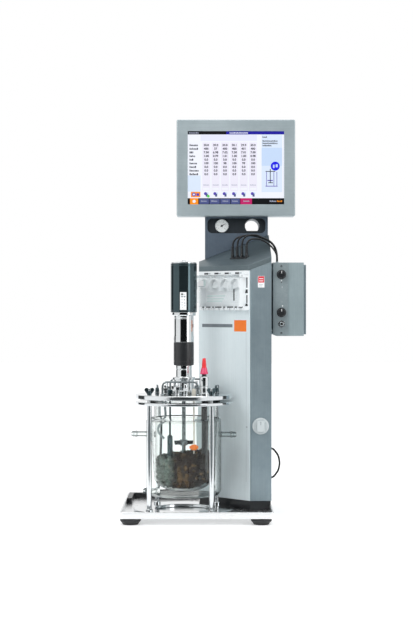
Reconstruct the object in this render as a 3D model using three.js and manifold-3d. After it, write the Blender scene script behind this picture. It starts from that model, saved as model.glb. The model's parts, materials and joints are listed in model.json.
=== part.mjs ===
// Bench bioreactor: a jacketed glass vessel in a steel stand beside a control
// tower with a display, a four-channel pump module and a gas box on its side.
// Millimetres, +Z up. The origin is the middle of the footprint, on the bench.

import * as THREE from 'three';
import { mergeVertices } from 'three/addons/utils/BufferGeometryUtils.js';
import Module from 'manifold-3d';

const wasm = await Module();
wasm.setup();

// ---- clearances ----

const seat = 0.3; // between pieces that stand on or in each other
const running = 0.4; // radial, round a piece that turns
const rootTwo = Math.SQRT2;

// ---- driving dimensions ----

const foot = { radius: 22, height: 13.7, chamfer: 3, insetFront: 25, insetLeft: 19, insetRight: 25 };

const tray = { sheet: 2, lipHeight: 13.7, hemHeight: 7.9, cornerRadius: 7 };

const rail = { width: 10, height: 11.2, groove: 1.6, leftLength: 104 };

const tower = {
  left: 160, front: 122.5, width: 152.7, depth: 217.5, wall: 2, panelThickness: 2,
  plinthHeight: 19.2, plinthInset: 1.5, panelTop: 519, flange: 14, slope: 0.54,
};

const hood = { lip: 11, overhang: 1.2, sheet: 2 };

const neck = {
  leftInset: 13, rightInset: 2, depth: 81, top: 638.9, wall: 2,
  pillMargin: 5.2, pillHeight: 32.6, pillRadius: 11, pillAbove: 19.2, pocketDepth: 9,
  gaugeOffset: -32, tunnelOffset: 34.6, tunnelRadius: 15.9, tunnelFloor: 10.7,
};

const gauge = { radius: 15.5, length: 7, bezel: 1.6, dialDepth: 3, needleLength: 10.5, needleWidth: 1.4, pinRadius: 0.9 };

const display = {
  width: 257.4, height: 209.5, depth: 46, forward: 30, shift: -1.7, sheet: 2, chamfer: 2.5,
  screenWidth: 209.4, screenHeight: 158.8, glassMargin: 4, glassThickness: 5,
  backWidth: 190, backHeight: 140, backDepth: 14, vents: 7, ventPitch: 8, ventsBelow: 20, ventShare: 0.6,
  armWidth: 70, armDepth: 24, armHeight: 60,
};

const ventHeight = 4;

const rearCover = {
  inset: 14, thickness: 2, bottom: 60, top: 500, vents: 6, ventWidth: 70, ventPitch: 9, ventsLow: 50, ventsHigh: 130,
};

const mainKnob = { radius: 17.5, length: 13, height: 192, grip: 6, shaftRadius: 4, shaftLength: 9 };

const pump = {
  count: 4, pitch: 30.6, margin: 9, height: 83, rightMargin: 0.6, plate: 4, ledgeDepth: 9, ledgeHeight: 8,
  wallThickness: 4, wallDepth: 17, rotorRadius: 10.5, rotorLength: 11,
  rollers: 3, rollerRadius: 3.2, shaftRadius: 2.5, trackThickness: 2.2, tubeGap: 1.4, slotWidth: 4,
};

const cover = { sheet: 2, depth: 9, pinRadius: 1.6, barrelRadius: 3, bottomAbove: 16, lugWidth: 5 };

const gasBox = {
  gap: 3.5, width: 65.4, height: 155, depth: 92, setBack: 17.5, bottom: 380.6, wall: 2, corner: 9,
  panelWidth: 31, panelThickness: 2, controlOffset: 18, knobRadius: 9.85, knobLength: 12, knobShaft: 3,
  upperKnob: 129.7, lowerKnob: 49.7, fitting: 25.4, fittingRadius: 7.35, fittingBore: 2.6,
  flangeOverhang: 10.8, tabWidth: 30, standoffRadius: 3, standoffLow: 12.5, standoffHigh: 142,
};

const plug = { pitch: 13.8, radius: 3.4, height: 24, base: 3, baseDepth: 11, inset: 32.9, along: 124 };

const cable = { radius: 1.9, sides: 6, steps: 20, points: 24, pitch: 6.6, entry: 10.8, setBack: 30.5, glandHeight: 3, glandRadius: 3 };

const loopCable = {
  radius: 2.2, sides: 8, steps: 13, upper: 126, lower: 62, depthFromBack: 14, reach: 23,
  glandLength: 5, plateWidth: 14, plateMargin: 9,
};

const station = { leftGap: 20.3, frontGap: 1.5, panelGap: 1.97, turn: -5.4 };

const stand = {
  ringOuter: 104.5, ringInner: 60, ringHeight: 6.7, legCircle: 90.5, legRadius: 5,
  clampBottom: 223.7, studRadius: 2.5, studAboveLid: 14,
};

const clamp = { outer: 101, inner: 64.5, thickness: 6 };

const glass = {
  bore: 59.5, wall: 3, flangeRadius: 76, flangeThickness: 3.4,
  jacketRadius: 78.2, jacketTop: 195, jacketBottom: 32.3, jacketCorner: 15, shoulder: 7,
  wellBottom: 43.3, wellDish: 30, nippleHeight: 160.5, nippleRadius: 5.5, nippleBore: 3,
  nippleLength: 34, barbRadius: 7, lowerNippleHeight: 46, lowerNippleAngle: -62,
};

const gasket = { outer: 76, inner: 60, thickness: 1.2 };

const lid = { radius: 101, thickness: 9.4, chamfer: 1.2, boreRadius: 6, portCircle: 39 };

const inlet = { radius: 2.4, straight: 38, bend: 15, drop: 83 };

const wing = { radius: 4.6, height: 9, span: 17, lobe: 4.4, thickness: 2.6 };

const handle = { width: 77, height: 29.4, radius: 2, corner: 10, offset: 68, footRadius: 4, footHeight: 3 };

const drive = {
  hubRadius: 24, hubHeight: 34.9, stemRadius: 16.7, stemHeight: 24.4,
  sleeveRadius: 21.1, sleeveHeight: 48, sleeveBore: 9,
  collarRadius: 21, collarHeight: 13.2, lanternRadius: 20.5, lanternHeight: 41.8,
  plateRadius: 25, plateHeight: 6.7, motorRadius: 27.4, motorHeight: 101.9, capHeight: 5,
};

const stirrer = {
  shaftRadius: 4, bottom: 50, top: 330, upperImpeller: 144, lowerImpeller: 62,
  blades: 4, bladeReach: 20, bladeHeight: 10, bladeThickness: 2, bladePitch: 40, hubRadius: 8, hubHeight: 12,
};

const sensor = { x: 45.2, y: -25.7, holderRadius: 9.65, holderHeight: 36.9, probeRadius: 6, probeBottom: 84, capHeight: 33 };

const well = { x: -26, y: -22, radius: 5.5, rodRadius: 2, bottom: 62, top: 161 };

const dipTube = { x: 24, y: -28, radius: 1.6, bottom: 81, fittingBottom: 130.8, fittingHeight: 10.5, fittingRadius: 6, fittingReach: 9 };

const bed = { gap: 0.5, top: 122, tilt: 0.1, dip: 11, dipX: -18, dipY: -22, dipSpread: 24, clearance: 0.5 };

// ---- places worked out from them ----

const floorTop = foot.height + tray.sheet;
const lipBand = 2 * tray.sheet;
const trayWidth = tower.left + tower.width;
const trayDepth = tower.front + tower.depth;
const stationX = lipBand + station.leftGap + stand.ringOuter;
const stationY = lipBand + station.frontGap + stand.ringOuter;
const towerBottom = floorTop + tower.plinthHeight;
const towerMiddle = tower.left + tower.width / 2;

// The slanted panel keeps its gap to the stand: on its line, x and y add up to this.
const panelCorner = stationX + stationY + (stand.ringOuter + station.panelGap) * rootTwo;
const faceWidth = trayWidth + tower.front - panelCorner;
const panelWidth = (tower.width - faceWidth) * rootTwo;
const neckLeft = tower.left + neck.leftInset;
const neckWidth = trayWidth - neck.rightInset - neckLeft;
const neckFront = trayDepth - neck.depth;
const neckMiddle = neckLeft + neckWidth / 2;
const displayMiddle = neckMiddle + display.shift;
const displayFront = neckFront - display.forward;
const boxFront = tower.front + gasBox.setBack;

// ---- finishes ----

function finish(color, roughness, metalness) {
  return new THREE.MeshStandardMaterial({ color, roughness, metalness });
}

const polished = finish(0xd9dcde, 0.12, 1);
const brushed = finish(0xa9b6ba, 0.35, 0.9);
const paleSteel = finish(0xcdd9dd, 0.35, 0.8);
const greyPaint = finish(0x7b8b92, 0.5, 0.2);
const bluePaint = finish(0x55626e, 0.5, 0.2);
const whitePlastic = finish(0xf0f1f1, 0.4, 0);
const blackPlastic = finish(0x1b1d20, 0.45, 0);
const anodised = finish(0x323e44, 0.35, 0.6);
const rubber = finish(0x2a2b2d, 0.8, 0);
const glassClear = finish(0xdfeee8, 0.05, 0);
const acrylic = finish(0xe8f0f2, 0.1, 0);
const screenGlass = finish(0x1a2740, 0.2, 0);
const redPlastic = finish(0xe0262c, 0.4, 0);
const orangePlastic = finish(0xf07a12, 0.45, 0);
const silicone = finish(0xd8d2c4, 0.6, 0);
const soil = finish(0x3d2c20, 0.95, 0);

// ---- geometry helpers ----

// A cylinder or cone standing on the XY plane.
function cylinder(bottomRadius, topRadius, height, segments = 14) {
  const geometry = new THREE.CylinderGeometry(topRadius, bottomRadius, height, segments);
  return geometry.rotateX(Math.PI / 2).translate(0, 0, height / 2);
}

// A box from its lowest corner.
function block(x, y, z, width, depth, height) {
  const geometry = new THREE.BoxGeometry(width, depth, height);
  return geometry.translate(x + width / 2, y + depth / 2, z + height / 2);
}

// A turned form: points are radius and height, from the axis back to the axis.
function turned(points, segments = 18) {
  const profile = points.map(([radius, height]) => new THREE.Vector2(radius, height));
  return new THREE.LatheGeometry(profile, segments).rotateX(Math.PI / 2);
}

function extruded(shape, height, curveSegments = 6) {
  return new THREE.ExtrudeGeometry(shape, { depth: height, bevelEnabled: false, curveSegments });
}

// An outline standing upright, facing -Y, extruded towards +Y.
function upright(shape, depth, curveSegments = 6) {
  return extruded(shape, depth, curveSegments).rotateX(Math.PI / 2).translate(0, depth, 0);
}

function roundedRectangle(x, y, width, height, radius) {
  const shape = new THREE.Shape();
  shape.moveTo(x + radius, y);
  shape.lineTo(x + width - radius, y);
  shape.absarc(x + width - radius, y + radius, radius, -Math.PI / 2, 0);
  shape.lineTo(x + width, y + height - radius);
  shape.absarc(x + width - radius, y + height - radius, radius, 0, Math.PI / 2);
  shape.lineTo(x + radius, y + height);
  shape.absarc(x + radius, y + height - radius, radius, Math.PI / 2, Math.PI);
  shape.lineTo(x, y + radius);
  shape.absarc(x + radius, y + radius, radius, Math.PI, 1.5 * Math.PI);
  return shape;
}

function polygon(points) {
  return new THREE.Shape(points.map(([x, y]) => new THREE.Vector2(x, y)));
}

function circle(radius, sides) {
  const points = [];
  for (let i = 0; i < sides; i += 1) {
    const angle = (2 * Math.PI * i) / sides;
    points.push([radius * Math.cos(angle), radius * Math.sin(angle)]);
  }
  return polygon(points);
}

// A round bar along a smooth curve through the points.
function bar(points, radius, sides, steps) {
  const path = new THREE.CatmullRomCurve3(points.map((point) => new THREE.Vector3(...point)));
  return new THREE.ExtrudeGeometry(circle(radius, sides), { steps, bevelEnabled: false, extrudePath: path });
}

// ---- joining and cutting ----

function signedVolume(positions, triangles) {
  const [a, b, c] = [new THREE.Vector3(), new THREE.Vector3(), new THREE.Vector3()];
  let volume = 0;
  for (let i = 0; i < triangles.length; i += 3) {
    a.fromArray(positions, triangles[i] * 3);
    b.fromArray(positions, triangles[i + 1] * 3);
    c.fromArray(positions, triangles[i + 2] * 3);
    volume += a.dot(b.cross(c)) / 6;
  }
  return volume;
}

// The solid of a closed geometry, with its faces pointing out.
function solid(geometry) {
  if (!geometry.isBufferGeometry) return geometry;
  const bare = geometry.clone();
  bare.deleteAttribute('normal');
  bare.deleteAttribute('uv');
  const merged = mergeVertices(bare, 1e-4);
  const vertProperties = merged.attributes.position.array;
  const triVerts = Uint32Array.from(merged.index.array);
  if (signedVolume(vertProperties, triVerts) < 0) triVerts.reverse();
  return new wasm.Manifold(new wasm.Mesh({ numProp: 3, vertProperties, triVerts }));
}

function join(first, ...others) {
  return others.reduce((sum, other) => sum.add(solid(other)), solid(first));
}

function cut(first, ...tools) {
  return tools.reduce((rest, tool) => rest.subtract(solid(tool)), solid(first));
}

function common(first, second) {
  return solid(first).intersect(solid(second));
}

function surface(body) {
  const mesh = solid(body).getMesh();
  const geometry = new THREE.BufferGeometry();
  geometry.setAttribute('position', new THREE.BufferAttribute(Float32Array.from(mesh.vertProperties), 3));
  geometry.setIndex(Array.from(mesh.triVerts));
  geometry.computeVertexNormals();
  return geometry;
}

function piece(name, body, material) {
  const mesh = new THREE.Mesh(surface(body), material);
  mesh.name = name;
  return mesh;
}

function at(object, x, y, z) {
  object.position.set(x, y, z);
  return object;
}

// ---- base: tray, rail and feet ----

// The tower's five-sided plan, drawn in by the given amounts.
function towerOutline(inset, panelInset = inset) {
  const left = tower.left + inset;
  const right = trayWidth - inset;
  const front = tower.front + inset;
  const back = trayDepth - inset;
  const slant = panelCorner + panelInset * rootTwo;
  return polygon([[slant - front, front], [right, front], [right, back], [left, back], [left, slant - left]]);
}

function trayLayer(inset, bottom, height) {
  const radius = Math.max(tray.cornerRadius - inset, 1);
  const outline = roundedRectangle(inset, inset, trayWidth - 2 * inset, trayDepth - 2 * inset, radius);
  return extruded(outline, height, 4).translate(0, 0, bottom);
}

// One folded sheet: floor, upright lip and a hem folded down outside the lip.
function buildTray() {
  const hem = trayLayer(0, foot.height + tray.lipHeight - tray.hemHeight, tray.hemHeight);
  const wall = trayLayer(tray.sheet, foot.height, tray.lipHeight);
  const inside = trayLayer(lipBand, floorTop, tray.lipHeight);
  const towerNotch = extruded(towerOutline(-seat), tray.lipHeight).translate(0, 0, floorTop);
  return piece('base_tray', cut(join(hem, wall), inside, towerNotch), polished);
}

// A black rail inside the lip, along the back and part of the left side.
function buildRail() {
  const start = lipBand + seat;
  const end = tower.left - 2 * seat;
  const back = trayDepth - start;
  const outline = polygon([
    [start, back - rail.leftLength], [start + rail.width, back - rail.leftLength],
    [start + rail.width, back - rail.width], [end, back - rail.width], [end, back],
    [start + tray.cornerRadius - lipBand, back], [start, back - tray.cornerRadius + lipBand],
  ]);
  const bottom = floorTop + seat;
  const slot = polygon([
    [start + rail.width - rail.groove, back - rail.leftLength - 1],
    [start + rail.width + 1, back - rail.leftLength - 1],
    [start + rail.width + 1, back - rail.width - 1], [end + 1, back - rail.width - 1],
    [end + 1, back - rail.width + rail.groove],
    [start + rail.width - rail.groove, back - rail.width + rail.groove],
  ]);
  const groove = extruded(slot, rail.groove).translate(0, 0, bottom + (rail.height - rail.groove) / 2);
  return piece('rear_rail', cut(extruded(outline, rail.height).translate(0, 0, bottom), groove), blackPlastic);
}

function buildFoot(name, x, y) {
  const { radius, height, chamfer } = foot;
  const top = height - seat;
  const profile = [[0, 0], [radius - chamfer, 0], [radius, chamfer], [radius, top - chamfer], [radius - chamfer, top], [0, top]];
  return at(piece(name, turned(profile, 18), rubber), x, y, 0);
}

function buildBase() {
  const group = new THREE.Group();
  const right = trayWidth - foot.insetRight;
  const rear = trayDepth - foot.insetFront;
  group.add(buildTray(), buildRail());
  group.add(buildFoot('foot_front_left', foot.insetLeft + foot.chamfer, foot.insetFront));
  group.add(buildFoot('foot_front_right', right, foot.insetFront));
  group.add(buildFoot('foot_rear_left', foot.insetLeft + foot.chamfer, rear));
  group.add(buildFoot('foot_rear_right', right, rear));
  return group;
}

// ---- tower ----

// Everything above the slanted cut that starts at the given height over the panel.
function aboveSlope(height) {
  const reach = 2 * (trayWidth + trayDepth);
  const angle = Math.atan(tower.slope);
  const slab = block(-reach / 2, 0, 0, reach, reach, reach).translate(0, -reach / 4, 0);
  slab.rotateX(angle).rotateZ(-Math.PI / 4);
  return slab.translate(tower.left, panelCorner - tower.left, height);
}

// Everything above the deck: it slopes up to the neck's front and runs level behind it.
function aboveDeck(height) {
  const reach = trayWidth + trayDepth;
  const level = (x) => height + (tower.slope * (x + neckFront - panelCorner)) / rootTwo;
  const outline = polygon([[0, level(0)], [reach, level(reach)], [reach, level(reach) + reach], [0, level(0) + reach]]);
  return join(aboveSlope(height), upright(outline, reach).translate(0, neckFront, 0));
}

// Along the panel from its left edge, outwards from it, and up.
function onPanel(object, along, outward, height) {
  object.rotation.z = -Math.PI / 4;
  const x = tower.left + (along - outward) / rootTwo;
  const y = panelCorner - tower.left - (along + outward) / rootTwo;
  return at(object, x, y, height);
}

function buildPlinth() {
  const height = tower.plinthHeight - 2 * seat;
  const outline = towerOutline(tower.plinthInset);
  return piece('tower_plinth', extruded(outline, height).translate(0, 0, floorTop + seat), blackPlastic);
}

function panelBlank(thickness, margin, bottom, top) {
  const geometry = block(margin, 0, bottom, panelWidth - 2 * margin, thickness, top - bottom);
  return geometry.rotateZ(-Math.PI / 4).translate(tower.left, panelCorner - tower.left, 0);
}

function sideGlandHole(height) {
  const hole = cylinder(loopCable.radius + running, loopCable.radius + running, 6 * tower.wall, 12);
  hole.rotateY(Math.PI / 2);
  return hole.translate(trayWidth - 4 * tower.wall, trayDepth - loopCable.depthFromBack, height);
}

// The folded housing: open behind the pale panel, the rear cover and the hood.
function buildShell() {
  const tall = neck.top;
  const recess = tower.panelThickness + seat;
  const outside = extruded(towerOutline(0), tall - towerBottom).translate(0, 0, towerBottom);
  const inside = extruded(towerOutline(tower.wall, tower.wall + recess), tall).translate(0, 0, towerBottom - 1);
  const panelRecess = panelBlank(recess, -2 * tower.wall, towerBottom - 1, tall);
  const panelWindow = panelBlank(6 * tower.wall, tower.flange, towerBottom + tower.flange, tower.panelTop - tower.flange);
  const coverRecess = coverBlank(-seat, rearCover.thickness + seat);
  const coverWindow = coverBlank(rearCover.inset, 8 * tower.wall);
  const backLining = backFrame();
  const knobHole = cylinder(mainKnob.shaftRadius + running, mainKnob.shaftRadius + running, 4 * tower.wall, 16);
  knobHole.rotateX(Math.PI / 2).translate(trayWidth - faceWidth / 2, tower.front + 2 * tower.wall, mainKnob.height);
  const hollow = cut(outside, inside);
  const shell = cut(
    join(hollow, backLining), panelRecess, panelWindow, coverRecess, coverWindow, knobHole,
    sideGlandHole(loopCable.upper), sideGlandHole(loopCable.lower), aboveDeck(tower.panelTop),
  );
  return piece('tower_shell', shell, greyPaint);
}

// The rear opening's plate, drawn in from the back face's edges.
function coverBlank(inset, thickness) {
  const left = tower.left + 2 * tower.wall + inset;
  const width = tower.width - 4 * tower.wall - 2 * inset;
  const bottom = rearCover.bottom + inset;
  return block(left, trayDepth - thickness, bottom, width, thickness + 1, rearCover.top - rearCover.bottom - 2 * inset);
}

// A thicker stretch of the back wall, which the rear cover is let into.
function backFrame() {
  const depth = tower.wall + rearCover.thickness + seat;
  const width = tower.width - 2 * tower.wall;
  const bottom = rearCover.bottom - tower.flange;
  return block(tower.left + tower.wall, trayDepth - depth, bottom, width, depth, rearCover.top - bottom + tower.flange);
}

function buildFrontPanel() {
  const top = tower.panelTop - seat;
  const plate = panelBlank(tower.panelThickness, 0, towerBottom, top);
  return piece('front_panel', common(plate, extruded(towerOutline(0), top)), paleSteel);
}

function ventSlots(count, x, z, width, pitch) {
  const slots = [];
  for (let i = 0; i < count; i += 1) {
    const [end, half, nip] = [width / 2, ventHeight / 2, ventHeight / 3];
    const shape = polygon([
      [nip - end, -half], [end - nip, -half], [end, nip - half], [end, half - nip],
      [end - nip, half], [nip - end, half], [-end, half - nip], [-end, nip - half],
    ]);
    slots.push(upright(shape, 40).translate(x, -20, z + i * pitch));
  }
  return slots;
}

function buildRearCover() {
  const left = tower.left + 2 * tower.wall + seat;
  const width = tower.width - 4 * tower.wall - 2 * seat;
  const bottom = rearCover.bottom + seat;
  const height = rearCover.top - rearCover.bottom - 2 * seat;
  const plate = block(left, trayDepth - rearCover.thickness, bottom, width, rearCover.thickness, height);
  const slots = [];
  const { vents, ventWidth, ventPitch, ventsLow, ventsHigh } = rearCover;
  for (const level of [rearCover.bottom + ventsLow, rearCover.top - ventsHigh]) {
    const row = ventSlots(vents, towerMiddle, level, ventWidth, ventPitch);
    row.forEach((slot) => slots.push(slot.translate(0, trayDepth, 0)));
  }
  return piece('rear_cover', cut(plate, ...slots), greyPaint);
}

// A sheet cap: a short skirt round the tower's outline under the sloping deck.
function buildHood() {
  const tall = neck.top - 1;
  const outside = extruded(towerOutline(0, -hood.overhang), tall).translate(0, 0, 1);
  const skirt = cut(outside, aboveDeck(tower.panelTop + hood.lip));
  const above = common(skirt, aboveDeck(tower.panelTop + seat));
  const inside = extruded(towerOutline(hood.sheet, hood.sheet), tall);
  const hollow = cut(inside, aboveDeck(tower.panelTop + hood.lip - hood.sheet));
  return piece('tower_hood', cut(above, hollow), bluePaint);
}

function pillOutline(margin) {
  const width = neckWidth - 2 * neck.pillMargin + 2 * margin;
  const height = neck.pillHeight + 2 * margin;
  const x = neckMiddle - width / 2;
  const z = neck.top - neck.pillAbove - height / 2;
  return roundedRectangle(x, z, width, height, neck.pillRadius + margin);
}

// The box under the display, with a sunk instrument window and a tunnel to the back.
function buildNeck() {
  const [front, bottom] = [neckFront, tower.panelTop];
  const outside = block(neckLeft, front, bottom, neckWidth, neck.depth, neck.top - bottom);
  const { wall } = neck;
  const inside = block(
    neckLeft + wall, front + wall, bottom - 1,
    neckWidth - 2 * wall, neck.depth - 2 * wall, neck.top - bottom + 1 - wall,
  );
  const pocketOuter = upright(pillOutline(wall - 0.4), neck.pocketDepth + wall).translate(0, front, 0);
  const pocket = upright(pillOutline(0), neck.pocketDepth + 1).translate(0, front - 1, 0);
  const tunnelX = neckMiddle + neck.tunnelOffset;
  const windowZ = neck.top - neck.pillAbove;
  const tunnelWall = axial(neck.tunnelRadius + wall, neck.depth - neck.pocketDepth, tunnelX, front + neck.pocketDepth, windowZ);
  const round = axial(neck.tunnelRadius, neck.depth + 2, tunnelX, front - 1, windowZ);
  const tunnel = common(round, block(neckLeft, front - 1, windowZ - neck.tunnelFloor, neckWidth, neck.depth + 2, neck.top));
  const gaugeHole = axial(gauge.radius / 2 + seat, neck.pocketDepth + 3 * wall, neckMiddle + neck.gaugeOffset, front, windowZ);
  const body = cut(join(cut(outside, inside), pocketOuter, tunnelWall), pocket, tunnel, gaugeHole);
  const deck = aboveDeck(tower.panelTop + hood.lip + seat);
  return piece('neck_housing', common(body, deck), bluePaint);
}

// A round bar pointing along +Y from its front end.
function axial(radius, length, x, y, z, segments = 14) {
  return cylinder(radius, radius, length, segments).rotateX(-Math.PI / 2).translate(x, y, z);
}

function gaugePlace() {
  const front = neckFront + neck.pocketDepth - gauge.length - seat;
  return [neckMiddle + neck.gaugeOffset, front, neck.top - neck.pillAbove];
}

// The pressure gauge: its case, sunk dial, needle pin and rear stem.
function buildGauge() {
  const { radius, length, bezel, dialDepth, pinRadius } = gauge;
  const profile = [[0, 0], [radius - 0.8, 0], [radius, 1], [radius, length], [radius / 2, length], [radius / 2, length + 8], [0, length + 8]];
  const body = turned(profile, 18);
  const dial = cylinder(radius - bezel, radius - bezel, dialDepth + 1, 18).translate(0, 0, -1);
  const pin = cylinder(pinRadius, pinRadius, dialDepth - 0.5, 8).translate(0, 0, 0.5);
  const shape = join(cut(body, dial), pin);
  return at(piece('gauge_body', surface(shape).rotateX(-Math.PI / 2), polished), ...gaugePlace());
}

function buildNeedle() {
  const { needleLength, needleWidth, pinRadius, dialDepth } = gauge;
  const hubRadius = pinRadius + 1.6;
  const blade = polygon([
    [-needleWidth / 2, -needleLength / 3], [needleWidth / 2, -needleLength / 3],
    [needleWidth / 2, 0], [0.3, needleLength], [-0.3, needleLength], [-needleWidth / 2, 0],
  ]);
  const thickness = 0.8;
  const hole = axial(pinRadius + running / 4, 4, 0, -1, 0, 8);
  const body = cut(join(upright(blade, thickness), axial(hubRadius, thickness, 0, 0, 0, 12)), hole);
  const [x, y, z] = gaugePlace();
  const mesh = at(piece('gauge_needle', body, blackPlastic), x, y + dialDepth - thickness - 0.6, z);
  mesh.rotation.y = THREE.MathUtils.degToRad(58);
  return mesh;
}

// ---- display ----

const displayLeft = displayMiddle - display.width / 2;
const displayBottom = neck.top + seat;

function displayFrame(width, height, y, depth) {
  const x = displayMiddle - width / 2;
  const z = displayBottom + (display.height - height) / 2;
  return block(x, y, z, width, depth, height);
}

function chamferedFront(width, height, depth, chamfer) {
  const shape = roundedRectangle(-width / 2 + chamfer, -height / 2 + chamfer, width - 2 * chamfer, height - 2 * chamfer, 1);
  const options = { depth: depth - chamfer, bevelEnabled: true, bevelThickness: chamfer, bevelSize: chamfer, bevelSegments: 2, curveSegments: 2 };
  return new THREE.ExtrudeGeometry(shape, options);
}

// A deep steel case, open at the back, with the screen's window in its face.
function buildDisplayHousing() {
  const { width, height, depth, sheet, chamfer } = display;
  const front = displayFront;
  const blank = chamferedFront(width, height, depth + chamfer, chamfer).rotateX(Math.PI / 2);
  blank.translate(displayMiddle, front + depth + chamfer, displayBottom + height / 2);
  const trimmed = common(blank, block(displayLeft, front, displayBottom, width, depth, height));
  const inside = displayFrame(width - 2 * sheet, height - 2 * sheet, front + sheet, depth);
  const window = displayFrame(display.screenWidth, display.screenHeight, front - 1, depth);
  return piece('display_housing', cut(trimmed, inside, window), brushed);
}

function buildScreen() {
  const { screenWidth, screenHeight, glassMargin, glassThickness, sheet } = display;
  const grow = 2 * glassMargin;
  const body = displayFrame(screenWidth + grow, screenHeight + grow, displayFront + sheet + seat, glassThickness);
  return piece('display_screen', body, screenGlass);
}

// The rear lid with its raised vented back and the arm that stands on the neck.
function buildDisplayBack() {
  const { width, height, depth, sheet, backWidth, backHeight, backDepth, armWidth, armDepth, armHeight } = display;
  const inset = 2 * (sheet + seat);
  const rear = displayFront + depth;
  const plate = displayFrame(width - inset, height - inset, rear - sheet, sheet);
  const raised = displayFrame(backWidth, backHeight, rear - 1, backDepth + 1);
  const hollow = displayFrame(backWidth - 2 * sheet, backHeight - 2 * sheet, rear - sheet - 1, backDepth + 1);
  const arm = join(
    block(displayMiddle - armWidth / 2, rear + seat, displayBottom, armWidth, armDepth, armHeight),
    block(displayMiddle - armWidth / 2, rear - 1, displayBottom + 2 * sheet, armWidth, armDepth, armHeight - 2 * sheet),
  );
  const ventLevel = displayBottom + height / 2 - display.ventsBelow;
  const slots = ventSlots(display.vents, displayMiddle, ventLevel, backWidth * display.ventShare, display.ventPitch);
  slots.forEach((slot) => slot.translate(0, rear + backDepth + 18, 0));
  const vented = cut(join(plate, raised), hollow, ...slots);
  return piece('display_rear_cover', join(vented, arm), brushed);
}

// ---- knobs ----

// A knob pointing to -Y, its shaft running back through the panel behind it.
function knobBody(radius, length, gripDepth, shaftRadius, shaftLength) {
  const rim = [[0, 0], [radius - 1.2, 0], [radius, 1.2], [radius, length], [shaftRadius, length]];
  const body = turned([...rim, [shaftRadius, length + shaftLength], [0, length + shaftLength]], 20);
  const grip = [];
  for (const side of [-1, 1]) {
    grip.push(cylinder(radius * 0.55, radius * 0.55, gripDepth + 1, 12).translate(side * radius * 0.86, 0, -1));
  }
  return surface(cut(body, ...grip)).rotateX(-Math.PI / 2);
}

function buildMainKnob() {
  const { radius, length, grip, shaftRadius, shaftLength, height } = mainKnob;
  const mesh = piece('main_knob', knobBody(radius, length, grip, shaftRadius, shaftLength), whitePlastic);
  return at(mesh, trayWidth - faceWidth / 2, tower.front - length - seat, height);
}

// ---- pump module, in the panel's own frame: x along it, -y outwards ----

const trackInner = pump.rotorRadius + pump.tubeGap;
const trackOuter = trackInner + pump.trackThickness;
const bayFront = -(pump.plate + pump.wallDepth);
const pinPlace = { y: bayFront, z: pump.height - pump.ledgeHeight - cover.barrelRadius - seat };
const rotorLevel = pinPlace.z - cover.barrelRadius - 2 * seat - trackOuter;
const pumpWidth = (pump.count - 1) * pump.pitch + 2 * (trackOuter + pump.margin);
const lugReach = (pumpWidth - cover.lugWidth) / 2 - 1;

function rotorPlaces() {
  const places = [];
  for (let i = 0; i < pump.count; i += 1) places.push((i - (pump.count - 1) / 2) * pump.pitch);
  return places;
}

// The horseshoe that each rotor presses its hose against, open at the bottom.
function trackBlock(x) {
  const outer = trackOuter;
  const ring = axial(outer, pump.wallDepth, x, bayFront, rotorLevel, 16);
  const lower = block(x - outer, bayFront, rotorLevel - outer, 2 * outer, pump.wallDepth, outer);
  const bore = axial(trackInner, pump.wallDepth + 1, x, bayFront - 1, rotorLevel, 16);
  const mouth = block(x - trackInner, bayFront - 1, rotorLevel - 2 * outer, 2 * trackInner, pump.wallDepth + 1, 2 * outer);
  return cut(join(ring, lower), bore, mouth);
}

function hingeLug(x) {
  const reach = cover.barrelRadius - bayFront;
  return block(x - cover.lugWidth / 2, -reach, pinPlace.z - cover.barrelRadius, cover.lugWidth, reach, 2 * cover.barrelRadius);
}

// Back plate, ledges, side cheeks, hose tracks and the cover's hinge lugs.
function buildChassis() {
  const width = pumpWidth;
  const { height, plate, ledgeDepth, ledgeHeight, wallThickness, slotWidth } = pump;
  const back = upright(roundedRectangle(-width / 2, 0, width, height, 3), plate, 3).translate(0, -plate, 0);
  const top = block(-width / 2, -plate - ledgeDepth, height - ledgeHeight, width, ledgeDepth + 1, ledgeHeight);
  const bottom = block(-width / 2, -plate - ledgeDepth, 0, width, ledgeDepth + 1, ledgeHeight);
  const cheeks = [-1, 1].map((side) => {
    const x = side * (width / 2 - cover.lugWidth - wallThickness - 1) - wallThickness / 2;
    return block(x, bayFront, ledgeHeight - 1, wallThickness, pump.wallDepth + 1, pinPlace.z - ledgeHeight - cover.barrelRadius - 2 * seat);
  });
  const tracks = rotorPlaces().map(trackBlock);
  const lugs = [-1, 1].map((side) => hingeLug(side * lugReach));
  const slots = [];
  for (const x of rotorPlaces()) {
    for (const side of [-1, 1]) {
      const slotX = x + side * pump.rotorRadius * 0.8 - slotWidth / 2;
      slots.push(block(slotX, -plate - ledgeDepth - 1, -1, slotWidth, ledgeDepth - 2, ledgeHeight + 2));
    }
  }
  const shafts = rotorPlaces().map((x) => axial(pump.shaftRadius + running, pump.plate + 2, x, -pump.plate - 1, rotorLevel, 8));
  const pinHole = cylinder(cover.pinRadius + running, cover.pinRadius + running, width + 2, 14);
  pinHole.rotateY(Math.PI / 2).translate(-width / 2 - 1, pinPlace.y, pinPlace.z);
  const body = cut(join(back, top, bottom, ...cheeks, ...tracks, ...lugs), ...slots, ...shafts, pinHole);
  return piece('pump_chassis', body, whitePlastic);
}

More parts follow.
